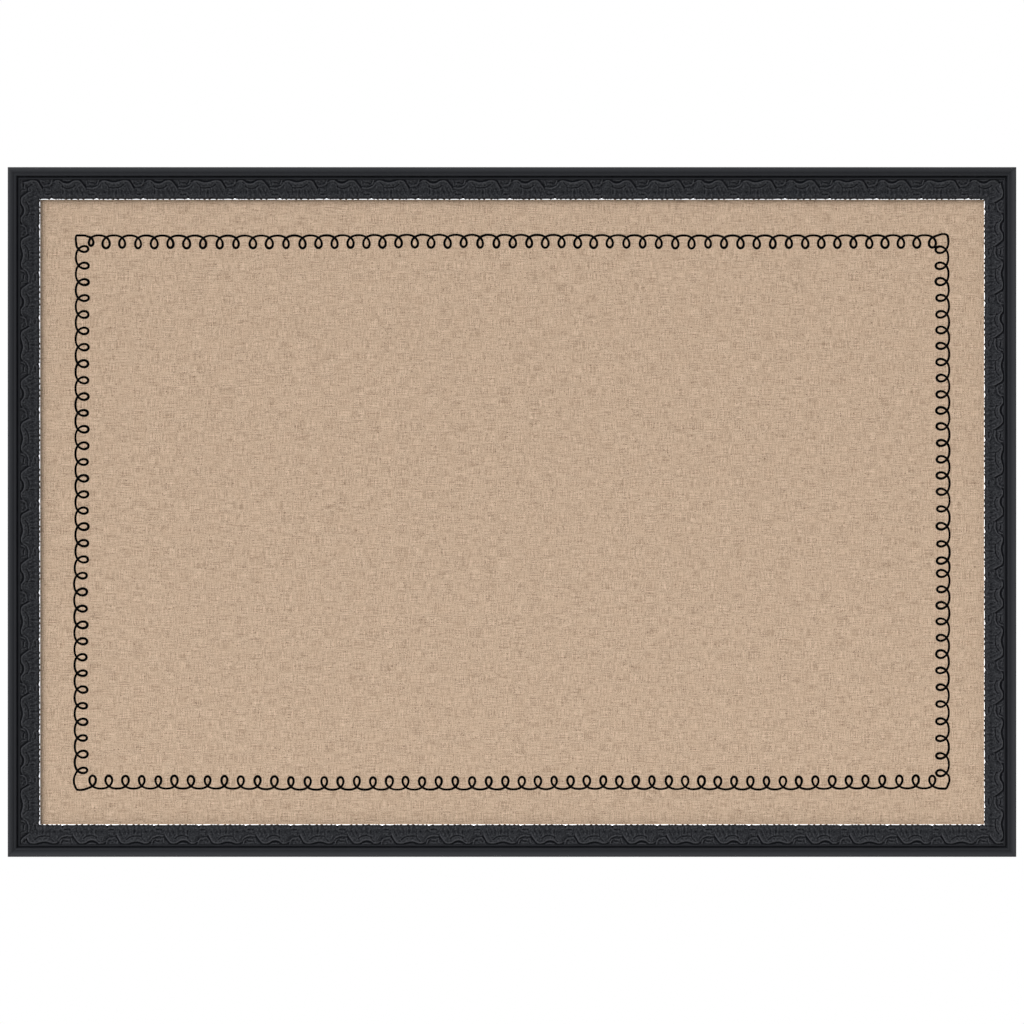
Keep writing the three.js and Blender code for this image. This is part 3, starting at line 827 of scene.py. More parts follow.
LOBES = [
    (-0.45, 0.5, [(-0.4, 14.6), (2.0, 16.6), (2.7, 20.0), (2.6, 25.2)]),
    (-0.45, 0.5, [(43.1, 14.8), (45.9, 17.3), (47.0, 20.7), (46.7, 26.0)]),
    (-0.45, 0.6, [(42.4, 23.6), (43.0, 24.4)]), (-0.45, 0.6, [(85.2, 23.6), (85.4, 24.4)]),
]
CUPS = [
    (0.70, 0.5, [(25.2, 13.4), (25.6, 15.0), (26.0, 17.0)]), (0.70, 0.5, [(28.0, 16.3), (32.0, 16.3)]),
    (-0.65, 0.5, [(29.6, 15.0), (32.0, 15.2), (34.0, 15.8), (35.6, 13.6)]),
    (0.55, 0.5, [(24.0, 11.6), (24.4, 11.9)]),
    (0.75, 0.5, [(37.2, 12.9), (36.4, 14.3), (35.6, 16.6)]),
    (-0.45, 0.45, [(24.6, 18.5), (30.0, 18.8), (33.6, 18.3), (35.6, 16.9)]),
    (0.60, 0.65, [(26.3, 19.9), (31.3, 20.4), (36.2, 18.6), (38.6, 15.6)]),
    (0.40, 0.4, [(25.2, 22.8), (27.2, 22.4), (29.0, 23.0)]),
    (0.42, 0.4, [(27.2, 24.2), (30.0, 23.8), (32.4, 24.6), (34.2, 24.2)]),
    (-0.70, 0.6, [(27.8, 26.0), (30.0, 26.4), (32.6, 26.0)]), (0.5, 0.5, [(33.4, 24.8), (35.0, 25.4)]),
    (0.70, 0.5, [(69.4, 14.5), (70.0, 16.2), (71.1, 17.3)]), (0.55, 0.55, [(72.4, 14.0), (73.2, 14.0)]),
    (-0.55, 0.5, [(71.3, 14.6), (71.5, 15.2)]), (-0.55, 0.55, [(76.6, 15.6), (78.0, 15.6)]),
    (0.75, 0.5, [(80.6, 10.9), (80.3, 13.4), (79.5, 15.7), (78.2, 17.0)]),
    (0.50, 0.6, [(72.2, 18.0), (75.4, 17.8), (78.2, 17.0)]),
    (-0.50, 0.5, [(72.6, 19.4), (77.2, 19.3)]), (0.42, 0.45, [(74.0, 22.2), (76.0, 21.8), (78.6, 22.4)]),
    (0.42, 0.4, [(74.2, 24.2), (76.2, 23.7), (78.4, 24.3)]), (-0.70, 0.6, [(73.8, 26.0), (77.2, 26.1)]),
    (-0.60, 0.55, [(78.9, 25.9), (79.2, 26.2)]), (0.45, 0.6, [(77.6, 27.6), (78.4, 27.6)]),
    (0.45, 0.6, [(81.8, 27.3), (82.6, 27.3)]),
]
NICKS = [
    (-0.7, 0.6, [(15.4, 11.9), (18.8, 12.2)]), (-0.7, 0.6, [(23.3, 16.4), (24.8, 19.2)]),
    (-0.7, 0.6, [(40.5, 12.2), (44.6, 12.0)]), (-0.7, 0.6, [(59.6, 11.9), (64.8, 11.9)]),
    (-0.7, 0.6, [(68.9, 16.2), (71.2, 19.8)]),
]
NOTCHES = [(-0.9, 0.8, [(34.8, 28.2), (35.0, 30.4)]), (-0.9, 0.75, [(79.6, 28.0), (79.8, 30.4)])]
LENSES = [
    (0.32, 0.8, [(3.4, 12.0), (7.4, 12.6), (11.4, 11.9)]),
    (0.28, 0.7, [(48.6, 11.7), (52.0, 12.0), (56.0, 11.6)]),
    (0.40, 0.55, [(27.2, 11.9), (34.4, 11.9)]), (0.34, 0.5, [(27.8, 13.3), (33.0, 13.4)]),
    (0.30, 0.5, [(72.6, 12.2), (78.0, 12.2)]),
]
STROKES = [*RIBS, *COLLARS, *LOBES, *CUPS, *NICKS, *NOTCHES, *LENSES]
print(len(STROKES), "strokes in a repeat")

# %% [markdown]
# The lines are smoothed before they are cut. Each stroke is a bell curve of the distance to its line. A
# shell is a plateau that rises steeply on its right and gently on its left, with a low rim inside its
# crest. A deep nick along the crest parts it from the ground, which rises to meet the shell near the sight
# edge, where the whole strip ends in a raised lip. The map repeats, so what is near its end is also cut at
# its start. Random lumps, a little longer across the band, are the marks that pressing and rubbing leave.

# %% The mould: its heights
MAP_CELL = 0.2
MAP_TOP = 10.4
MAP_BOTTOM = 31.2
GROUND = 0.55
SHELL_HEIGHT = 1.55
RIM = 0.32
LIP_RISE = 1.3
NICK = 1.0
NICK_WIDTH = 0.75
SOFT_FLANK = 3.5
STEEP_FLANK = (0.1, 1.4)
GROUND_RISE = 1.05
GROUND_RISES = (16.5, 24.5)
CROWN = 0.35
CROWN_INSET = 20
CROWN_WIDTH = 6
RIM_IN = 1.4
RIM_WIDTH = 0.55
RIM_FADES = (17.5, 21.5)
LIP_RISES = (23, 28)
LUMPS = [(0.10, 0.4, 0.5), (0.07, 1.1, 1.3)]
THINNEST = 0.12
RELIEF_REACH = 1.0
RELIEF_UNIT = 0.34
RELIEF_LIMIT = 1.2
columns = int(round(REPEAT / MAP_CELL))
rows = int(round((MAP_BOTTOM - MAP_TOP) / MAP_CELL))
along_map, across_map = np.meshgrid(
    np.arange(columns) * REPEAT / columns, np.linspace(MAP_TOP, MAP_BOTTOM, rows), indexing="ij"
)
chance = np.random.default_rng(7)


def smooth_line(points, spacing=0.5):
    """A Catmull-Rom curve through the points, as close points."""
    p = np.array([points[0], *points, points[-1]], float)
    made = []
    for a, b, c, d in zip(p, p[1:], p[2:], p[3:]):
        steps = max(2, int(np.linalg.norm(c - b) / spacing))
        s = (np.arange(steps) / steps)[:, None]
        made.append(b + 0.5 * s * (c - a + s * (2 * a - 5 * b + 4 * c - d + s * (3 * (b - c) + d - a))))
    return np.vstack([*made, p[-1:]])


def distance_to(line):
    """How far each point of the map is from a line, which is also drawn one repeat before and after."""
    nearest = np.full(along_map.shape, 99.0)
    for shift in (-REPEAT, 0, REPEAT):
        for (x0, y0), (x1, y1) in zip(line, line[1:]):
            dx, dy = x1 - x0, y1 - y0
            px, py = along_map - shift - x0, across_map - y0
            share = np.clip((px * dx + py * dy) / max(dx * dx + dy * dy, 1e-9), 0, 1)
            nearest = np.minimum(nearest, np.hypot(px - share * dx, py - share * dy))
    return nearest


def inside_of(outline):
    """Which points of the map lie inside a closed outline, by counting crossings."""
    found = np.zeros(along_map.shape, bool)
    for shift in (-REPEAT, 0, REPEAT):
        within = np.zeros(along_map.shape, bool)
        for (x0, y0), (x1, y1) in zip(outline, [*outline[1:], outline[0]]):
            if y0 == y1:
                continue
            spans = (y0 > across_map) != (y1 > across_map)
            crossing = x0 + (across_map - y0) * (x1 - x0) / (y1 - y0)
            within ^= spans & (along_map - shift < crossing)
        found |= within
    return found


def bell(distance, width):
    """1 on a line, and fading over its width."""
    return np.exp(-((distance / width) ** 2))


def ramp(value, first, last):
    """0 below first, 1 above last, and smooth between."""
    share = np.clip((value - first) / (last - first), 0, 1)
    return share * share * (3 - 2 * share)


def soften(field, radius, radius_across=None):
    """Blur a map that repeats along its length and stops across it. The radii are in millimetres."""
    for axis, size in ((0, radius), (1, radius_across or radius)):
        reach = int(3 * size / MAP_CELL)
        weights = np.exp(-0.5 * (np.arange(-reach, reach + 1) * MAP_CELL / size) ** 2)
        widths = [(reach, reach) if k == axis else (0, 0) for k in (0, 1)]
        wide = np.pad(field, widths, mode="wrap" if axis == 0 else "edge")
        field = sum(w * np.take(wide, range(k, k + field.shape[axis]), axis) for k, w in enumerate(weights))
        field = field / weights.sum()
    return field


def random_lumps(radius, radius_across):
    """Random lumps of a given size, with a spread of 1."""
    lumps = soften(chance.standard_normal(along_map.shape), radius, radius_across)
    return lumps / lumps.std()


def shell(crest, sides):
    """Signed distance to a shell's outline: positive inside."""
    right, left = (smooth_line(edge) for edge in sides)
    outline = np.vstack([smooth_line(crest), right, left[::-1]])
    away = np.minimum(distance_to(outline[: -len(left)]), distance_to(left) / SOFT_FLANK)
    return np.where(inside_of([tuple(place) for place in outline]), away, -away)


def cut_the_mould():
    """The heights over one repeat, in millimetres above the ornament's bed."""
    fade = 1 - ramp(across_map, *RIM_FADES)
    ground = GROUND + GROUND_RISE * ramp(across_map, *GROUND_RISES)
    signed = np.maximum(*(shell(crest, sides) for crest, sides in zip(CRESTS, SHELL_SIDES)))
    crown = CROWN * bell(across_map - CROWN_INSET, CROWN_WIDTH)
    height = ground + ramp(signed, *STEEP_FLANK) * (SHELL_HEIGHT - ground + crown)
    for crest in CRESTS:
        below_crest = distance_to(smooth_line(crest))
        height += RIM * bell(below_crest - RIM_IN, RIM_WIDTH) * fade * (signed > 0)
        height -= NICK * bell(below_crest, NICK_WIDTH)
    for rise, width, line in STROKES:
        height += rise * bell(distance_to(smooth_line(line)), width)
    for rise, radius, radius_across in LUMPS:
        height += rise * random_lumps(radius, radius_across)
    height += LIP_RISE * ramp(across_map, *LIP_RISES)
    return np.maximum(height, THINNEST)


mould = cut_the_mould()
# The relief value: how far each point stands above or sinks below the blurred mould around it. The lacquer
# paints it as highlight on crests and shade in hollows.
relief_map = np.clip((mould - soften(mould, RELIEF_REACH)) / RELIEF_UNIT, -RELIEF_LIMIT, RELIEF_LIMIT)
print("mould", mould.shape, "cells, heights", mould.min().round(2), "to", mould.max().round(2), "mm")

# %% [markdown]
# The strip for a side is a grid with its ends already mitred: each row is as long as the side is at that
# distance from the edge. Its inner edge is scalloped, because the ribs end in small lobes there. The grid
# is then closed like a casting: its rim goes down to the bed, and a flat underside closes it.

# %% The ornament strips
STRIP_OUTER = BED_START + 0.1
STRIP_ROWS = 43
STRIP_PITCH = 0.46
BED_GAP = 0.1
INNER_ROUND = 0.35
INNER_START = 0.25
OUTER_ROLL = 0.3
OUTER_LOSS = 0.6
FOOT_SHADE = 0.5
FOOT_SHADE_WIDTH = 0.5
# Forms of the inner edge: where along the repeat, how far in it reaches, and half how wide it is.
EDGE_FORMS = [
    (0.8, 0.4, 0.7), (5.0, 0.8, 1.15), (7.2, 0.3, 0.6), (10.4, 0.78, 1.0), (16.7, 0.75, 1.0),
    (21.8, 0.7, 1.0), (31.2, 0.58, 0.8), (35.0, -0.7, 0.9), (37.2, 0.55, 0.7), (40.9, 0.7, 0.9),
    (45.4, 0.5, 0.7), (50.2, 0.8, 1.1), (55.0, 0.75, 1.0), (61.8, 0.7, 1.0), (65.2, 0.4, 0.7),
    (68.0, 0.55, 0.9), (73.0, -0.14, 1.5), (76.7, 0.55, 0.8), (79.7, -0.7, 0.9), (83.2, 0.55, 0.8),
    (85.8, 0.4, 0.8),
]


def sight_edge(place, mean):
    """How far in the strip reaches, by the place along the repeat."""
    edge = np.full(place.shape, mean)
    for centre, height, width in EDGE_FORMS:
        away = (place - centre + REPEAT / 2) % REPEAT - REPEAT / 2
        edge += height * bell(away, width)
    return edge


def read_map(field, place, inset):
    """The map's value between its cells."""
    x = (place % REPEAT) / REPEAT * columns
    y = np.clip((inset - MAP_TOP) / (MAP_BOTTOM - MAP_TOP) * (rows - 1), 0, rows - 1.001)
    i, j = np.floor(x).astype(int), np.floor(y).astype(int)
    fx, fy = x - i, y - j
    i, i1 = i % columns, (i + 1) % columns
    near = field[i, j] * (1 - fx) + field[i1, j] * fx
    far = field[i, j + 1] * (1 - fx) + field[i1, j + 1] * fx
    return near * (1 - fy) + far * fy


def close_underneath(strip, count_along, count_across, side):
    """Take the rim of the grid down to the bed and close the underside with one long row of faces."""
    shape = bmesh.new()
    shape.from_mesh(strip.data)
    shape.verts.ensure_lookup_table()
    grid = [[shape.verts[j * count_along + i] for i in range(count_along)] for j in range(count_across)]
    rim = grid[0][:-1] + [row[-1] for row in grid[:-1]] + grid[-1][:0:-1] + [row[0] for row in grid[:0:-1]]
    layer = shape.verts.layers.float["relief"]
    below = []
    for vertex in rim:
        inset = side["reach"] - vertex.co.z / MM
        y = RAIL_BACK - bed_height(inset) - BED_GAP
        foot = shape.verts.new((vertex.co.x, y * MM, vertex.co.z))
        # The walls down to the bed and the underside get the deepest painted shade.
        foot[layer] = -1
        below.append(foot)
    total = len(rim)
    for k in range(total):
        shape.faces.new((rim[k], rim[(k + 1) % total], below[(k + 1) % total], below[k]))
    first = below[:count_along]
    inner = below[count_along + count_across - 2 : 2 * count_along + count_across - 2][::-1]
    end_right = below[count_along - 1 : count_along + count_across - 1]
    end_left = below[2 * count_along + count_across - 3 :] + below[:1]
    for k in range(1, count_along - 2):
        shape.faces.new((first[k], first[k + 1], inner[k + 1], inner[k]))
    shape.faces.new([first[-2], *end_right, inner[-2]])
    shape.faces.new([first[1], inner[1], *end_left])
    bmesh.ops.recalc_face_normals(shape, faces=shape.faces[:])
    shape.to_mesh(strip.data)
    shape.free()


def make_ornament(order, side):
    """One strip: a grid, its rows mitred, its heights from the mould, closed below and turned in place."""
    count_along = int(side["length"] / STRIP_PITCH)
    strip, grid = fine_grid(count_along, STRIP_ROWS)
    end_share = grid[:, 0]
    width_share = (1 - grid[:, 1]) / 2
    inset = STRIP_OUTER + (side["sight"] - STRIP_OUTER) * width_share
    place = end_share * (side["length"] / 2 - inset) - side["pattern_start"]
    edge = sight_edge(place, side["sight"])
    inset = STRIP_OUTER + (edge - STRIP_OUTER) * width_share
    along = end_share * (side["length"] / 2 - inset - SAW_GAP)
    place = along - side["pattern_start"]
    inner_round = 1 - np.exp(-(edge - inset + INNER_START) / INNER_ROUND)
    outer_roll = 1 - OUTER_LOSS * np.exp(-(inset - STRIP_OUTER) / OUTER_ROLL)
    height = read_map(mould, place, inset) * inner_round * outer_roll
    y = RAIL_BACK - bed_height(inset) - BED_GAP - height
    set_places(strip, np.stack([along, y, side["reach"] - inset], axis=1))
    # Painted shade, deepest at the strip's inner edge under the lip, is added to the relief value.
    foot_shade = FOOT_SHADE * np.exp(-(edge - inset) / FOOT_SHADE_WIDTH)
    carry(strip, "relief", read_map(relief_map, place, inset) - foot_shade)
    close_underneath(strip, count_along + 1, STRIP_ROWS + 1, side)
    turn_about_y(strip, order)
    smooth(strip, 60)
    return strip


for order, side in enumerate(SIDES):
    strip = make_ornament(order, side)
    hand_over(
        strip, side["name"] + "_shell_ornament", [black_composition],
        stands_for=[side["name"] + "_ornament"],
    )
    print(strip.name, "has", len(strip.data.vertices), "vertices")

# %% [markdown]
# The linen is cut square, laid over the cork, pulled round the edges and glued down in a band behind. It
# is made in that order: a fine grid for the face, whose rim is extruded back over the edge and then inwards
# behind. Each corner of each face also gets its place on the flat cut, as a UV map, so the weave runs on
# round the edge. Pulled cloth isn't quite flat, so the face has very low, slow waves that fade to nothing at
# its edge. Solidify gives the cloth its thickness inwards.

# %% The linen
LINEN_THICKNESS = 0.55
LINEN_TURN_IN = 25
FACE_CELL = 12
WAVE_HEIGHT = 0.05
WAVE_FADES = (0.06, 0.3)
WAVE_LENGTHS = (23, 31, 47)
linen_low, linen_high = (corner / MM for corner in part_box("linen_cover"))
FACE_WIDTH = linen_high.x - linen_low.x
FACE_HEIGHT = linen_high.z - linen_low.z
EDGE_DEPTH = linen_high.y - linen_low.y


def flat_place(x, y, z, normal):
    """Where a point of the folded cloth lies on the flat cut, in millimetres from its middle."""
    over_x = FACE_WIDTH / 2 - abs(x)
    over_z = FACE_HEIGHT / 2 - abs(z)
    depth = y - LINEN_FRONT
    if normal.y < -0.5:
        return x, z
    if abs(normal.y) <= 0.5:
        if abs(normal.x) > abs(normal.z):
            return math.copysign(FACE_WIDTH / 2 + depth, x), z
        return x, math.copysign(FACE_HEIGHT / 2 + depth, z)
    if over_x < over_z:
        return math.copysign(FACE_WIDTH / 2 + EDGE_DEPTH + over_x, x), z
    return x, math.copysign(FACE_HEIGHT / 2 + EDGE_DEPTH + over_z, z)


def make_linen():
    """The cloth: its face, its edges, its turned-in band, its flat map and its thickness."""
    cloth, grid = fine_grid(int(FACE_WIDTH / FACE_CELL), int(FACE_HEIGHT / FACE_CELL))
    x, z = grid[:, 0] * FACE_WIDTH / 2, grid[:, 1] * FACE_HEIGHT / 2
    fade = ramp(1 - np.maximum(abs(grid[:, 0]), abs(grid[:, 1])), *WAVE_FADES)
    along, up, slanted = WAVE_LENGTHS
    waves = np.sin(x / along + 1.1) * np.sin(z / up) + 0.6 * np.sin((x - z) / slanted + 0.5)
    set_places(cloth, np.stack([x, LINEN_FRONT + WAVE_HEIGHT * fade * waves, z], axis=1))
    edit_all(cloth)
    bpy.ops.mesh.region_to_loop()
    bpy.ops.mesh.extrude_region_move(TRANSFORM_OT_translate={"value": (0, EDGE_DEPTH * MM, 0)})
    bpy.ops.mesh.extrude_region_move()
    behind = [1 - 2 * LINEN_TURN_IN / FACE_WIDTH, 1, 1 - 2 * LINEN_TURN_IN / FACE_HEIGHT]
    bpy.ops.transform.resize(value=behind, center_override=(0, 0, 0))
    face_outwards()
    if sum(face.normal.y for face in cloth.data.polygons if face.center.y < (LINEN_FRONT + 1) * MM) > 0:
        cloth.data.flip_normals()
    flat = cloth.data.uv_layers.new(name="flat_cut")
    for face in cloth.data.polygons:
        for loop in face.loop_indices:
            place = cloth.data.vertices[cloth.data.loops[loop].vertex_index].co / MM
            flat.data[loop].uv = [value * MM for value in flat_place(*place, face.normal)]
    for layer in [one for one in cloth.data.uv_layers if one.name != "flat_cut"]:
        cloth.data.uv_layers.remove(layer)
    apply_modifier(cloth, "SOLIDIFY", thickness=LINEN_THICKNESS * MM, offset=-1)
    smooth(cloth, 30)
    return cloth


cloth = make_linen()
hand_over(cloth, "linen_cloth", [linen], stands_for=["linen_cover"])

# %% [markdown]
# The border is one black line, drawn by hand round the cloth and printed. It goes clockwise in arcs and
# small loops that hang towards the middle, and it starts and ends in a square corner at the top left. A
# loop line is a prolate trochoid, the path of a point on the rim of a rolling wheel that is larger than the
# one it rolls on. So a formula draws each side, from the first loop's tip to the last, and each loop
# differs from the next a little, as a hand's do. The corners are joined through a few listed points.
# The pen leaves a wider line in the loops than on the arcs.

# %% The loop border: its centre line
# Each side: which way it runs, and how the hand strayed. STRIDE says where the tip of a numbered loop is
# along the side, and LINE how far the arcs are from the board's middle there. Inwards is to the right.
LOOP_SIDES = [
    {
        "way": (1, 0),
        "stride": [
            (0, -403.3), (1, -389.3), (6, -311.9), (13, -200.8), (19, -108.8), (27, 16.6), (32, 93.8),
            (39, 203.4), (46, 312.0), (52, 402.9),
        ],
        "line": [(0, 265.2), (5, 264.9), (12, 264.9), (20, 265.7), (28, 265.6), (38, 265.0), (52, 265.3)],
        "small": [0],
    },
    {
        "way": (0, -1),
        "stride": [
            (0, -251.4), (8, -128.3), (14, -35.1), (16, -2.8), (19, 46.9), (20, 58.3), (26, 151.7),
            (28, 184.0), (32, 250.3),
        ],
        "line": [(0, 418.0), (4, 418.9), (17, 419.4), (22, 419.2), (26, 418.6), (32, 418.7)],
    },
    {
        "way": (-1, 0),
        "stride": [
            (0, -402.7), (8, -274.9), (13, -197.5), (17, -134.2), (26, 6.4), (32, 102.1), (37, 179.8),
            (44, 291.9), (51, 402.0),
        ],
        "line": [
            (0, 264.9), (4, 264.9), (10, 266.0), (20, 265.3), (28, 266.0), (38, 266.2), (43, 265.1),
            (51, 265.1),
        ],
    },
    {
        "way": (0, 1),
        "stride": [(0, -247.9), (4, -185.4), (8, -123.8), (15, -13.9), (19, 47.7), (26, 158.0), (32, 251.7)],
        "line": [(0, 419.0), (6, 419.2), (12, 419.7), (13, 418.4), (22, 418.4), (32, 417.9)],
    },
]
CORNERS = [
    [(408.4, 265.3), (413.2, 266.4), (417.1, 265.1), (418.2, 259.8), (417.7, 255.0)],
    [(418.6, -253.1), (419.2, -256.9), (418.5, -259.8), (416.3, -264.6), (413.2, -265.2), (407.5, -264.6)],
    [(-409.9, -265.9), (-415.6, -266.3), (-417.5, -265.3), (-419.7, -259.8), (-419.5, -254.1)],
    [
        (-417.3, 255.0), (-417.9, 259.8), (-417.9, 263.4), (-417.2, 264.9), (-413.6, 265.0), (-409.6, 265.0),
        (-406.8, 264.0),
    ],
]
LOOP_DEPTH = 12.12
LOOP_SWING = 6.42
LOOP_POINT = 1.1
CROSSING = 2.158
LOOP_STEPS = 30
SMALL_LOOP_SHARE = 0.82
# How far the hand strays: the tip in millimetres, the size, the width, and the lean in millimetres.
STRAYS = (0.12, 0.018, 0.03, 0.18)
CORNER_NEARNESS = 0.1
pen = np.random.default_rng(11)


def loop_line(side):
    """A side's centre line, its crossings' rise and its width, from its first crossing to its last."""
    count = side["stride"][-1][0] + 1
    numbers = np.arange(count)
    tip_stray, size_stray, width_stray, lean_stray = STRAYS
    tips = np.interp(numbers, *zip(*side["stride"])) + pen.normal(0, tip_stray, count)
    sizes = 1 + pen.normal(0, size_stray, count)
    sizes[side.get("small", [])] *= SMALL_LOOP_SHARE
    widths = sizes * (1 + pen.normal(0, width_stray, count))
    leans = pen.normal(0, lean_stray, count)
    phase = np.linspace(-CROSSING, 2 * math.pi * (count - 1) + CROSSING, LOOP_STEPS * count)
    turn = phase / (2 * math.pi)
    order = np.clip(np.round(turn).astype(int), 0, count - 1)
    near = (1 + np.cos(phase)) / 2
    pitch = np.diff(tips, prepend=tips[0] - tips[1] + tips[0], append=2 * tips[-1] - tips[-2])
    before, after = pitch[0] * np.minimum(turn, 0), pitch[-1] * np.maximum(turn - count + 1, 0)
    base = np.interp(turn, numbers, tips) + before + after
    along = base - LOOP_SWING * widths[order] * np.sin(phase) + leans[order] * near**2
    away = np.interp(turn, *zip(*side["line"])) - LOOP_DEPTH * sizes[order] * near**LOOP_POINT
    way = np.array(side["way"], float)
    outwards = np.array([-way[1], way[0]])
    return along[:, None] * way + away[:, None] * outwards, np.sin(phase), near


def border_line():
    """The whole line: each side, then the corner after it."""
    line, rise, near = [], [], []
    drawn = [loop_line(side) for side in LOOP_SIDES]
    for k, (points, lift, width) in enumerate(drawn):
        following, following_lift, _ = drawn[(k + 1) % len(drawn)]
        through = [points[-2], points[-1], *CORNERS[k], following[0], following[1]]
        curve = smooth_line([tuple(p) for p in through], 0.6)
        first = np.argmin(np.hypot(*(curve - points[-1]).T)) + 1
        last = np.argmin(np.hypot(*(curve - following[0]).T))
        joint = curve[first:last]
        line += [points, joint]
        rise += [lift, np.linspace(lift[-1], following_lift[0], len(joint))]
        near += [width, np.full(len(joint), CORNER_NEARNESS)]
    return np.vstack(line), np.concatenate(rise), np.concatenate(near)


# %% [markdown]
# The line becomes a low ribbon of ink that stands a tenth of a millimetre proud of the yarns. Where it
# crosses itself, the second stroke lies on the first. A curve with a bevel would turn its section at the
# loops, so the section is laid along the line in code, and the ends are joined.

# %% The loop border: its ink
INK_HALF_ARC = 1.07
INK_HALF_LOOP = 1.24
INK_RISE = 0.10
INK_SINK = 0.12
INK_CROSSING = 0.03
BLEED = 0.05
BLEED_REACH = 3
INK_SECTION_SHARES = [(-1, -1), (-1, 0.1), (-0.72, 1), (0.72, 1), (1, 0.1), (1, -1)]


def make_ink():
    """The printed line as one closed ribbon."""
    line, rise, near = border_line()
    ahead = np.roll(line, -1, axis=0) - np.roll(line, 1, axis=0)
    ahead /= np.hypot(ahead[:, 0], ahead[:, 1])[:, None]
    across = np.stack([ahead[:, 1], -ahead[:, 0]], axis=1)
    bleed = soften_line(pen.normal(0, 1, len(line)), BLEED_REACH) * BLEED
    half = INK_HALF_ARC + (INK_HALF_LOOP - INK_HALF_ARC) * near + bleed
    corners = []
    for side_share, rise_share in INK_SECTION_SHARES:
        flat = line + across * (side_share * half)[:, None]
        up = rise_share * (INK_RISE if rise_share > 0 else INK_SINK) + INK_CROSSING * (1 + rise)
        corners.append(np.stack([flat[:, 0], LINEN_FRONT - up, flat[:, 1]], axis=1))
    rings = np.stack(corners, axis=1)
    count, sides = rings.shape[:2]
    faces = []
    for k in range(count):
        here, ahead_of_it = k * sides, (k + 1) % count * sides
        for j in range(sides):
            beside = (j + 1) % sides
            faces.append((here + j, here + beside, ahead_of_it + beside, ahead_of_it + j))
    ribbon = piece_from("loop_border", rings.reshape(-1, 3), [], faces)
    edit_all(ribbon)
    face_outwards()
    smooth(ribbon, 50)
    return ribbon


def soften_line(values, reach):
    """Average each value with its neighbours along the line."""
    weights = np.exp(-0.5 * (np.arange(-2 * reach, 2 * reach + 1) / reach) ** 2)
    mixed = sum(w * np.roll(values, k - 2 * reach) for k, w in enumerate(weights))
    return mixed / mixed.std()


ribbon = make_ink()
hand_over(ribbon, "loop_border", [ink])
print("ink line of", len(ribbon.data.vertices) // len(INK_SECTION_SHARES), "points")

# %% [markdown]
# The slips are cut from card with a knife and mitred, in the same way as the rails. Only the faces that
# look forwards are the facing sheet, and all the others show the core.

# %% The white slips
slip_front, slip_back = (corner.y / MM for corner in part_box("top_slip"))
SLIP_OUTER = BOARD_HEIGHT / 2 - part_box("top_slip")[1].z / MM
KNIFE_EDGE = 0.06

for order, side in enumerate(SIDES):
    heights = (RAIL_BACK - slip_back, RAIL_BACK - slip_front)
    corners = [(SLIP_OUTER, 0), (SLIP_OUTER, 1), (side["slip"], 1), (side["slip"], 0)]
    slip = mitred_bar(order, side, [(inset, heights[k], 0) for inset, k in corners], KNIFE_EDGE)
    hand_over(
        slip, side["name"] + "_card_slip", [card, core], stands_for=[side["name"] + "_slip"]
    )
    for face in slip.data.polygons:
        face.material_index = 0 if face.normal.y < -FACING else 1
print("slips", round(slip_back - slip_front, 2), "mm thick")

# %% [markdown]
# Some solids have the right shape as they are: the cork, the hardboard, and the points and nails in the
# wood. They only get their finish.

# %% Solids that keep their shape
refinish(["cork_sheet"], cork)
refinish(["hardboard_backing"], hardboard)
refinish([name for name in nodes if "_framing_point_" in name or "_v_nail_" in name], steel)
print(sum("_v_nail_" in name for name in nodes), "nails and their finish")

# %% [markdown]
# The dust cover is kraft paper, wetted, glued round the back and trimmed a little inside the edge. It
# dries tight but never quite flat, so a grid gets slow waves that die out where the paper is glued to the
# rails. Solidify makes it a sheet of real thickness.

# %% The dust cover
PAPER_THICKNESS = 0.25
GLUED_BAND = 26
PAPER_CELLS = (170, 116)
PAPER_WAVE = 0.42
PAPER_BULGE = 0.5
LOOSE_WITHIN = 75
BULGE_WITHIN = 200
paper_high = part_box("dust_cover")[1] / MM


def make_dust_cover():
    """A sheet of paper with slow waves, flat where it is glued."""
    paper, grid = fine_grid(*PAPER_CELLS)
    half_x, half_z = paper_high.x, paper_high.z
    x, z = grid[:, 0] * half_x, grid[:, 1] * half_z
    free = np.minimum(half_x - abs(x), half_z - abs(z)) - GLUED_BAND
    loose = ramp(free, 0, LOOSE_WITHIN)
    bulge = PAPER_BULGE * ramp(free, 0, BULGE_WITHIN)
    waves = np.sin(x / 48 + 0.7 * np.sin(z / 66)) * np.sin(z / 41 + 0.4)
    creases = 0.5 * np.sin((x + 0.7 * z) / 19 + 1.6 * np.sin(z / 80)) * np.sin(x / 90 + 2)
    y = paper_high.y + bulge + PAPER_WAVE * loose * (waves + creases)
    set_places(paper, np.stack([x, y, z], axis=1))
    inwards = 1 if paper.data.polygons[0].normal.y < 0 else -1
    apply_modifier(paper, "SOLIDIFY", thickness=PAPER_THICKNESS * MM, offset=inwards)
    smooth(paper, 30)
    return paper


paper = make_dust_cover()
hand_over(paper, "kraft_dust_cover", [kraft], stands_for=["dust_cover"])

# %% [markdown]
# Four strap hangers are screwed to the back, two for each way the board can hang. A strap is stamped from
# steel strip and curled round its ring. The plain solid already has that shape, so a copy of it is merged
# and its edges are broken with a small bevel, as tumbling breaks them.

# %% The hangers' straps
HANGERS = {
    "left": {"seat": (-469.5, 180), "turn": 0},
    "right": {"seat": (469.5, 180), "turn": 0},
    "top": {"seat": (-282.5, 317), "turn": -1},
    "bottom": {"seat": (-282.5, -317), "turn": -1},
}
HANGER_AXIS = -2.75
TUMBLED_EDGE = 0.16
MERGE_WITHIN = 0.002


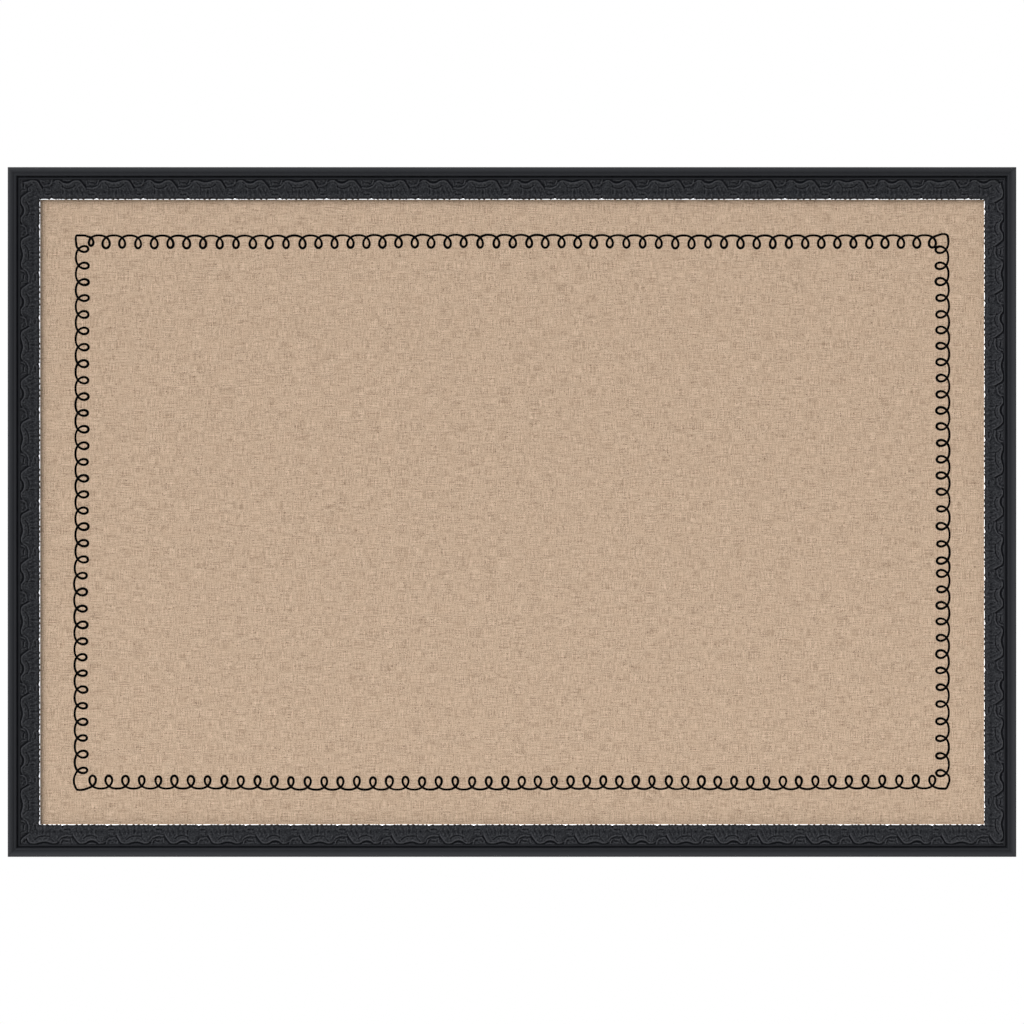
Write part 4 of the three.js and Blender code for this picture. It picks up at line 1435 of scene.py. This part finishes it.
def copy_of(node, edge_break, degrees):
    """A copy of a solid with its triangles merged, its flat faces joined and its edges broken."""
    start()
    copy = nodes[node].copy()
    copy.data = nodes[node].data.copy()
    copy.parent = None
    for key in [key for key in copy.keys() if key.startswith("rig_")]:
        del copy[key]
    bpy.context.scene.collection.objects.link(copy)
    copy.data.materials.clear()
    edit_all(copy)
    bpy.ops.mesh.remove_doubles(threshold=MERGE_WITHIN * MM)
    bpy.ops.mesh.dissolve_limited(angle_limit=math.radians(2))
    bpy.ops.object.mode_set(mode="OBJECT")
    break_edges(copy, edge_break, degrees)
    smooth(copy, 32)
    return copy


for name in HANGERS:
    strap = copy_of(name + "_hanger_strap", TUMBLED_EDGE, 50)
    hand_over(
        strap, name + "_curled_strap", [nickel], stands_for=[name + "_hanger_strap"]
    )
print("straps of", len(strap.data.polygons), "faces")

# %% [markdown]
# A D-ring is bent from round wire, and its ends meet inside the curl. The wire is a curve along the D with
# a round bevel, turned into a mesh. The D is made once, about its own axis, and a copy is laid in each
# strap.

# %% The hangers' rings
WIRE = 1.1
RING_HALF = 8.1
RING_REACH = 10.5
RING_CORNER = 3.0
RING_SEAM = 0.6
ARC_STEPS = 12


def arc(centre, radii, first, last, steps):
    """Points of an elliptical arc between two angles, in degrees."""
    angles = [math.radians(first + (last - first) * k / steps) for k in range(steps + 1)]
    return [(centre[0] + radii[0] * math.cos(a), centre[1] + radii[1] * math.sin(a)) for a in angles]


def ring_path():
    """The D from its seam and back: places across and down from the ring's axis."""
    bend = RING_HALF - RING_CORNER
    corner = (RING_CORNER, RING_CORNER)
    right = arc((bend, -RING_CORNER), corner, 90, 0, ARC_STEPS)
    bow = arc((0, -RING_CORNER), (RING_HALF, RING_REACH - RING_CORNER), 0, -180, 4 * ARC_STEPS)
    left = arc((-bend, -RING_CORNER), corner, 180, 90, ARC_STEPS)
    return [(RING_SEAM / 2, 0), *right, *bow[1:-1], *left, (-RING_SEAM / 2, 0)]


def make_ring(name, hanger):
    """A wire D in its strap's curl."""
    start()
    wire = bpy.data.curves.new(name, "CURVE")
    wire.dimensions = "3D"
    wire.bevel_depth = WIRE * MM
    wire.bevel_resolution = 5
    wire.use_fill_caps = True
    path = ring_path()
    spline = wire.splines.new("POLY")
    spline.points.add(len(path) - 1)
    for point, (across, down) in zip(spline.points, path):
        point.co = (across * MM, 0, down * MM, 1)
    ring = bpy.data.objects.new(name, wire)
    bpy.context.scene.collection.objects.link(ring)
    x, z = hanger["seat"]
    ring.location = Vector((x, HANGER_AXIS, z)) * MM
    ring.rotation_euler = (0, hanger["turn"] * math.pi / 2, 0)
    only(ring)
    bpy.ops.object.convert(target="MESH")
    ring = bpy.context.object
    bpy.ops.object.transform_apply(location=True, rotation=True, scale=True)
    smooth(ring, 45)
    return ring


for name, hanger in HANGERS.items():
    ring = make_ring(name + "_wire_d_ring", hanger)
    hand_over(
        ring, name + "_wire_d_ring", [nickel], body=name + "_ring",
        stands_for=[name + "_hanger_ring"],
    )
print("rings of", len(ring.data.polygons), "faces")

# %% [markdown]
# Turned things start as half an outline that spin carries round an axis. The screws and the rubber feet
# are made so. A screw's cross recess is then cut with a boolean, as the punch that makes it would press it.

# %% Screws and rubber feet
SCREW_DOWN = 20
SCREW_SEAT = 1.4
HEAD_RADIUS = 3.4
HEAD_HEIGHT = 1.9
HEAD_RIM = 0.7
SHANK_RADIUS = 1.75
SHANK_LENGTH = 12
THREAD_PITCH = 1.3
THREAD_DEPTH = 0.45
THREAD_START = 1.0
THREAD_FREE = 2.5
THREAD_TAPER = (0.9, 0.5)
TIP = (0.35, 0.5)
NECK = (1.5, 1.1)
SEAT_SLACK = 0.05
HEAD_EDGE = 0.15
RECESS = (3.8, 0.9, 1.1)
FOOT_INSET = 12
FOOT_RADIUS = 5.5
FOOT_FACE = 3.8
FOOT_SKIRT = 1.6
FOOT_HEIGHT = 4.95
FOOT_EDGE = 0.2
FOOT_DIMPLE = [(0.55, -0.02), (0.4, -0.3), (0, -0.34)]


def turned(name, outline, x, z, steps):
    """Spin an outline of radius and height about an axis that runs out of the wall."""
    edges = [(k, k + 1) for k in range(len(outline) - 1)]
    piece = piece_from(name, [(x + radius, y, z) for radius, y in outline], edges, [])
    edit_all(piece)
    bpy.ops.mesh.spin(steps=steps, angle=2 * math.pi, center=(x * MM, 0, z * MM), axis=(0, 1, 0))
    bpy.ops.mesh.select_all(action="SELECT")
    bpy.ops.mesh.remove_doubles(threshold=MERGE_WITHIN * MM)
    face_outwards()
    return piece


def make_screw(name, hanger):
    """A pan-head screw with a threaded shank and a cross recess."""
    x, z = hanger["seat"]
    x, z = (x, z - SCREW_DOWN) if hanger["turn"] == 0 else (x + SCREW_DOWN, z)
    seat = HANGER_AXIS - SCREW_SEAT + SEAT_SLACK
    end = seat - SHANK_LENGTH
    outline = [(0, end), (TIP[0], end + TIP[1])]
    for k in range(int((SHANK_LENGTH - THREAD_FREE) / THREAD_PITCH)):
        foot = end + THREAD_START + k * THREAD_PITCH
        crest = min(SHANK_RADIUS, THREAD_TAPER[0] + THREAD_TAPER[1] * k)
        outline += [(crest - THREAD_DEPTH, foot), (crest, foot + THREAD_PITCH / 2)]
    outline += [(SHANK_RADIUS - THREAD_DEPTH, seat - NECK[0]), (SHANK_RADIUS, seat - NECK[1])]
    outline += [(SHANK_RADIUS, seat), (HEAD_RADIUS - HEAD_EDGE, seat), (HEAD_RADIUS, seat + HEAD_EDGE)]
    outline += arc((0, seat + HEAD_RIM), (HEAD_RADIUS, HEAD_HEIGHT - HEAD_RIM), 0, 90, 8)
    screw = turned(name, outline, x, z, 32)
    long, wide, deep = RECESS
    top = seat + HEAD_HEIGHT
    for size in ((long, wide), (wide, long)):
        start()
        bpy.ops.mesh.primitive_cube_add(size=1)
        punch = bpy.context.object
        box = get_places(punch) * MM
        set_places(punch, box * (size[0], 2 * deep, size[1]) + (x, top, z))
        apply_modifier(screw, "BOOLEAN", operation="DIFFERENCE", object=punch, solver="EXACT")
        bpy.data.objects.remove(punch)
    smooth(screw, 35)
    return screw


for name, hanger in HANGERS.items():
    screw = make_screw(name + "_pan_head_screw", hanger)
    hand_over(
        screw, name + "_pan_head_screw", [nickel], stands_for=[name + "_hanger_screw"]
    )

for vertical, up in (("top", 1), ("bottom", -1)):
    for horizontal, right in (("left", -1), ("right", 1)):
        x = right * (BOARD_WIDTH / 2 - FOOT_INSET)
        z = up * (BOARD_HEIGHT / 2 - FOOT_INSET)
        outline = [(0, -FOOT_HEIGHT), (FOOT_RADIUS - FOOT_EDGE, -FOOT_HEIGHT)]
        outline += [(FOOT_RADIUS, -FOOT_HEIGHT + FOOT_EDGE)]
        shoulder = (FOOT_RADIUS - FOOT_FACE, FOOT_HEIGHT - FOOT_SKIRT)
        outline += arc((FOOT_FACE, -shoulder[1]), shoulder, 0, 90, 9)
        outline += [(FOOT_FACE * share, y) for share, y in FOOT_DIMPLE]
        foot = turned("foot", outline, x, z, 44)
        smooth(foot, 40)
        corner = vertical + "_" + horizontal
        hand_over(foot, corner + "_rubber_foot", [rubber], stands_for=[corner + "_bumper"])
print("screws of", len(screw.data.polygons), "faces, feet of", len(foot.data.polygons))
